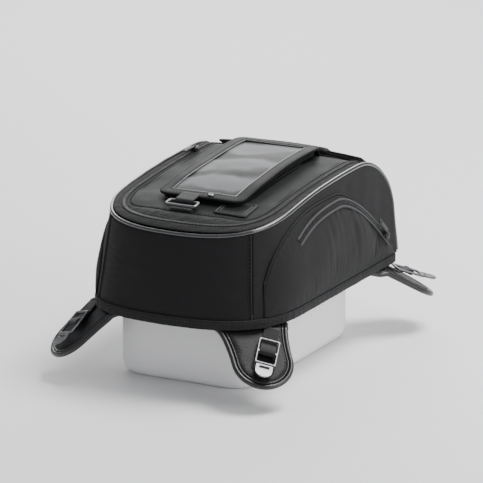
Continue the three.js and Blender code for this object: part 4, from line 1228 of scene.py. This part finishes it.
CORNERS = {"rear": {"x": 82.0, "y": -119.0, "droop": 40.0, "skew": 24.0, "perk": 2.0, "sewn": 1.5},
           "front": {"x": 88.0, "y": 134.0, "droop": 30.0, "skew": 0.0, "perk": 10.0, "sewn": 6.0}}
LAY_SHARE = 0.62
HANG_Z = STRAP_THICK - 0.6 + 2 * GAP
FOLD = {"width": 8.0, "step": 0.1, "level": -0.35, "thin": 0.22, "raise": 0.9, "reach": 13.0}
PAD = {"inset": 2.2, "depth": 3.4, "round": 0.8, "voxel": 2.2, "pressure": 3.5, "swell": 1.3, "top": 4.6}


class Place:
    """A turned place: origin and three directions, for pieces drawn about 0."""

    def __init__(self, origin, across, along, up):
        self.frame = tuple(np.asarray(a, float) for a in (origin, across, along, up))

    def __call__(self, points):
        return seat(np.asarray(points, float).reshape(-1, 3), self.frame)

    def inside(self, origin, turn_up=0.0, turn_across=0.0):
        """A place inside this one, turned about its up and then its across direction."""
        _, across, along, up = self.frame
        c, s = math.cos(turn_up), math.sin(turn_up)
        across, along = across * c + along * s, along * c - across * s
        c, s = math.cos(turn_across), math.sin(turn_across)
        along, up = along * c + up * s, up * c - along * s
        return Place(self(origin)[0], across, along, up)


def wing_place(side, end, spec):
    droop = math.radians(spec["droop"])
    outward = np.array([side, end, 0]) / math.sqrt(2)
    down = outward * math.cos(droop) - (0, 0, math.sin(droop))
    normal = outward * math.sin(droop) + (0, 0, math.cos(droop))
    return Place((side * spec["x"], spec["y"], 0), np.cross(down, normal), down, normal)


def root_line(place):
    """Where the base's outline runs, as (across, along) points in a wing's place."""
    origin, across, along, _ = place.frame
    reach = lifted(base_outline(6.0)[0]) - origin
    outward = unit(along * (1, 1, 0))
    near = reach @ outward > -40
    points = np.stack([(reach @ across)[near], np.minimum((reach @ outward)[near], -3.0)], -1)
    return points[np.argsort(points[:, 0])]


def wing_edge(place, inset):
    """The wing's free edge: flared towards its root, and round at the tip."""
    half = WING["tip"] / 2 - inset
    centre = WING["length"] - WING["tip"] / 2
    end = np.interp(WING["width"] / 2 + 3, *root_line(place).T)
    share = np.linspace(0, 1, 26)
    flank = np.stack([half + WING["flare"] * (1 - share) ** 2.2, end + (centre - end) * share], -1)
    turn = np.linspace(0, np.pi, 28)[1:-1]
    tip = np.stack([half * np.cos(turn), centre + half * np.sin(turn)], -1)
    return np.concatenate([flank, tip, flank[::-1] * (-1, 1)])


def wing_outline(place, inset):
    """The wing's edge, closed by its root, which follows the base."""
    edge = wing_edge(place, inset)
    across = np.linspace(edge[-1, 0], edge[0, 0], 30)[1:-1]
    return np.concatenate([edge, np.stack([across, np.interp(across, *root_line(place).T)], -1)])


class Fold:
    """Carries points of a wing, drawn flat, over the fold where it leaves the base: level behind the fold,
    drooping ahead of it, and thin at its root."""

    def __init__(self, place, droop):
        self.place, self.outward, self.root = place, unit(place.frame[2] * (1, 1, 0)), root_line(place)
        droop, width = math.radians(droop), FOLD["width"]
        self.run = np.linspace(-30, 80, 1101)
        self.angle = droop * ease(self.run / width + 0.5)
        at = np.searchsorted(self.run, width)
        out, drop = (np.cumsum(a) * FOLD["step"] for a in (np.cos(self.angle), np.sin(self.angle)))
        self.out = out - out[at] + width * math.cos(droop)
        self.drop = drop - drop[at] + width * math.sin(droop)

    def __call__(self, points):
        points = np.asarray(points, float).reshape(-1, 3)
        origin, across = self.place.frame[:2]
        full = ease((points[:, 1] - np.interp(points[:, 0], *self.root.T) + 1) / FOLD["reach"])
        depth = FOLD["thin"] + (1 - FOLD["thin"]) * full
        height = FOLD["level"] + (points[:, 2] - FOLD["level"]) * depth + FOLD["raise"] * (1 - full)
        angle, out, drop = (np.interp(points[:, 1], self.run, a) for a in (self.angle, self.out, self.drop))
        ahead = (out + np.sin(angle) * height)[:, None]
        rise = xyz(0, 0, np.cos(angle) * height - drop)
        return origin + across * points[:, :1] + self.outward * ahead + rise


def wing_pad(name, fold, outline, node):
    """A stuffed pad: an extruded outline, remeshed, blown up as cloth and smoothed."""
    points, faces = plate(outline, PAD["depth"], PAD["round"])
    shape = bpy.data.meshes.new("pad")
    shape.from_pydata((points * SIM_SCALE).tolist(), [], faces)
    holder = link("pad", shape)
    remesh = holder.modifiers.new("remesh", "REMESH")
    remesh.mode, remesh.voxel_size = "VOXEL", PAD["voxel"] * SIM_SCALE
    points, faces = taken(holder)
    bpy.data.meshes.remove(shape)
    points = settle(points / SIM_SCALE, faces, [], PAD["pressure"], cap=PAD["swell"], frames=16)
    points[:, 2] = np.minimum(points[:, 2], PAD["top"])
    pad = make(name, fold(points + (0, 0, WING["under"] + 0.6)), faces, "wing", None, [node])
    smooth = pad.modifiers.new("smooth", "SUBSURF")
    smooth.levels = smooth.render_levels = 1
    final = bpy.data.meshes.new_from_object(pad.evaluated_get(bpy.context.evaluated_depsgraph_get()))
    pad.modifiers.clear()
    pad.data = final
    return pad


def wing_pieces(key, place, fold):
    """The pad, its bound rim, a bead inside the rim and a row of stitches."""
    pieces = [wing_pad(f"wing_{key}_pad", fold, wing_outline(place, PAD["inset"]), f"wing_pad_{key}")]
    for name, inset, radius, flat, z in (("rim", 2.3, 2.5, 1.0, (WING["top"] + WING["under"]) / 2),
                                         ("bead", 5.6, 0.9, 0.8, WING["top"] - 0.9)):
        drawn = Rail(lifted(wing_edge(place, inset), z)).at(np.linspace(0, 1, 150))
        line = fold(drawn)
        frames = path_frames(line, unit(fold(drawn + UP) - line))
        pieces.append(sweep(f"wing_{key}_{name}", ring(radius, 12, flat), frames, "edge", None))
    row = Rail(lifted(wing_edge(place, 8.6), WING["top"] - 0.35)).at(np.linspace(0.02, 0.98, 120))
    return pieces + [stitches(f"wing_{key}_stitches", [(fold(row), place.frame[3])], None)]


def wing_strap(key, lay, sewn, slope):
    """Webbing from the base seam, under the first bar, over the middle bar and back beneath."""
    first = BUCKLE["start"]
    bar = first + BUCKLE["length"] * BUCKLE["middle"]
    bar_z = HANG_Z + (bar - first) * slope + BUCKLE["wire"] / 2
    radius = BUCKLE["wire"] / 2 + 0.8
    climb, turn, end = np.linspace(0, 1, 14)[1:], np.linspace(0, np.pi, 12)[1:], np.linspace(0, 1, 3)
    line = lay(np.concatenate([
        xyz(0, np.linspace(sewn, first + 2, 12), 0),
        xyz(0, first + 2 + (bar - first - 2) * climb, (bar_z + radius) * ease(climb)),
        xyz(0, bar + radius * np.sin(turn), bar_z + radius * np.cos(turn)),
        xyz(0, bar - 2 - 4 * end, bar_z - radius - 0.3 * end)]))
    across = lay.frame[1]
    frames = (line, across, unit(np.cross(across, unit(np.gradient(line, axis=0)))))
    strap = sweep(f"wing_{key}_webbing", strap_section(WEBBING, 1.4, 5, -0.7), frames, "web", None,
                  [f"wing_strap_{key}"])
    a, b = lay([(0, first - 1.5, 0), (0, first + 3, 0)]) * MM
    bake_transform(strap)


def wing(corner, label, side):
    """A wing at one corner of the base, with its webbing and its buckle."""
    spec, key = CORNERS[corner], f"{corner}_{label}"
    end = 1 if corner == "front" else -1
    body, place = f"wing_{key}", wing_place(side, end, spec)
    root, tip = place([(0, -1.0, -3), (0, 9.0, -3)]) * MM
    for piece in wing_pieces(key, place, Fold(place, spec["droop"])):
        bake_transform(piece)
    turn, perk = side * end * math.radians(spec["skew"]), math.radians(spec["perk"])
    lay = place.inside((math.tan(turn) * WING["length"] * LAY_SHARE, 0, 0), turn_up=turn)
    buckle(key, lay.inside((0, BUCKLE["start"], HANG_Z), turn_across=perk), f"buckle_{key}")
    wing_strap(key, lay, spec["sewn"], math.tan(perk))


def buckle(key, place, body):
    """A steel ladder buckle with three bars, and the hook tab at its end."""
    half, length, wire = BUCKLE["width"] / 2, BUCKLE["length"], BUCKLE["wire"]
    middle = length * BUCKLE["middle"]
    holes = [rounded(rect(-half + wire, low, half - wire, high), 0.9, 4)
             for low, high in ((wire, middle - wire / 2), (middle + wire / 2, length - wire))]
    points, faces = plate(rounded(rect(-half, 0, half, length), 2.2), wire, 0.95, holes)
    make(f"buckle_{key}_frame", place(points), faces, "steel", body, [f"wing_buckle_{key}"])
    half -= 2
    turn = np.linspace(0, np.pi, 20)
    tip = np.stack([half * np.cos(turn), BUCKLE["hook"] - half + half * np.sin(turn)], -1)
    slot = rounded(rect(-4.5, 2.4, 4.5, 4.4), 0.8, 4)
    points, faces = plate(np.concatenate([[(-half, 0), (half, 0)], tip]), 1.8, 0.6, [slot])
    curl = 0.9 * np.clip((points[:, 1] - 6) / 8, 0, 1) ** 2
    points = points + xyz(0, length + GAP, 0.3 + curl)
    make(f"buckle_{key}_hook", place(points), faces, "steel", body, [f"buckle_hook_{key}"])


# ---------------------------------------------------------------- stage, light and camera

FLOOR_Z, FLOOR_HALF, PLINTH_HALF = -68.0, 3000.0, (74.0, 112.0)


def stage():
    """A pale floor, and a plinth under the bag so that its wings can droop."""
    points, faces = plate(rounded(rect(-FLOOR_HALF, -FLOOR_HALF, FLOOR_HALF, FLOOR_HALF), 900, 10), 20.0, 4.0)
    floor = link("floor", smooth_mesh("floor", points + (0, 0, FLOOR_Z - 20.0), faces, "floor"))
    x, y = PLINTH_HALF
    points, faces = plate(rounded(rect(-x, -y, x, y), 34, 12), 0.2 - FLOOR_Z, 12.0)
    plinth = link("plinth", smooth_mesh("plinth", points + (0, 0, FLOOR_Z - 0.4), faces, "floor"))


def area_light(name, place, size, power):
    """A square light that shines at the middle of the bag."""
    data = bpy.data.lights.new(name, "AREA")
    data.shape, data.size, data.energy = "SQUARE", size, power
    light = link(name, data)
    light.location = place
    light.rotation_euler = (Vector((0, 0, 0.05)) - Vector(place)).to_track_quat("-Z", "Y").to_euler()


def studio():
    world = bpy.data.worlds.new("studio")
    bpy.context.scene.world = world
    world.use_nodes = True
    background = world.node_tree.nodes["Background"]
    background.inputs["Color"].default_value = (0.95, 0.96, 1.0, 1)
    background.inputs["Strength"].default_value = 0.55
    area_light("key", (0.5, 0.5, 1.6), 0.8, 42)
    area_light("side", (1.8, -0.3, 0.8), 1.0, 17)
    area_light("back", (-0.8, 1.4, 0.9), 1.2, 20)


def camera():
    azimuth, elevation, distance = math.radians(27.5), math.radians(16), 4.505
    target = Vector((0.0, 0.0125, 0.040))
    back = Vector((math.sin(azimuth) * math.cos(elevation), -math.cos(azimuth) * math.cos(elevation),
                   math.sin(elevation)))
    data = bpy.data.cameras.new("camera")
    data.sensor_width, data.lens = 36.0, 350.0
    data.clip_start, data.clip_end = 0.05, 50
    view = link("camera", data)
    view.location = target + back * distance
    view.rotation_euler = (-back).to_track_quat("-Z", "Y").to_euler()
    bpy.context.scene.camera = view


# ---------------------------------------------------------------- build

for build in (base_mat, base_hem, rear_panel, rear_corners, side_panels, front_panel, piping, top_rim,
              main_zip, lid_rim, lid_panel, lid_seam, lid_patch, flap_frame, flap_sheets, flap_fold,
              flap_fastener, flap_rivet, main_slider, handle_strap, handle_grip, handle_anchors):
    build()
for label, side in SIDES:
    pocket_panel(label, side)
    pocket_seam(label, side)
    pocket_zip(label, side)
    for corner in CORNERS:
        wing(corner, label, side)
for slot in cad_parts["base_board"].material_slots:
    slot.material = PAINTS["lining"]
stage()
studio()
camera()
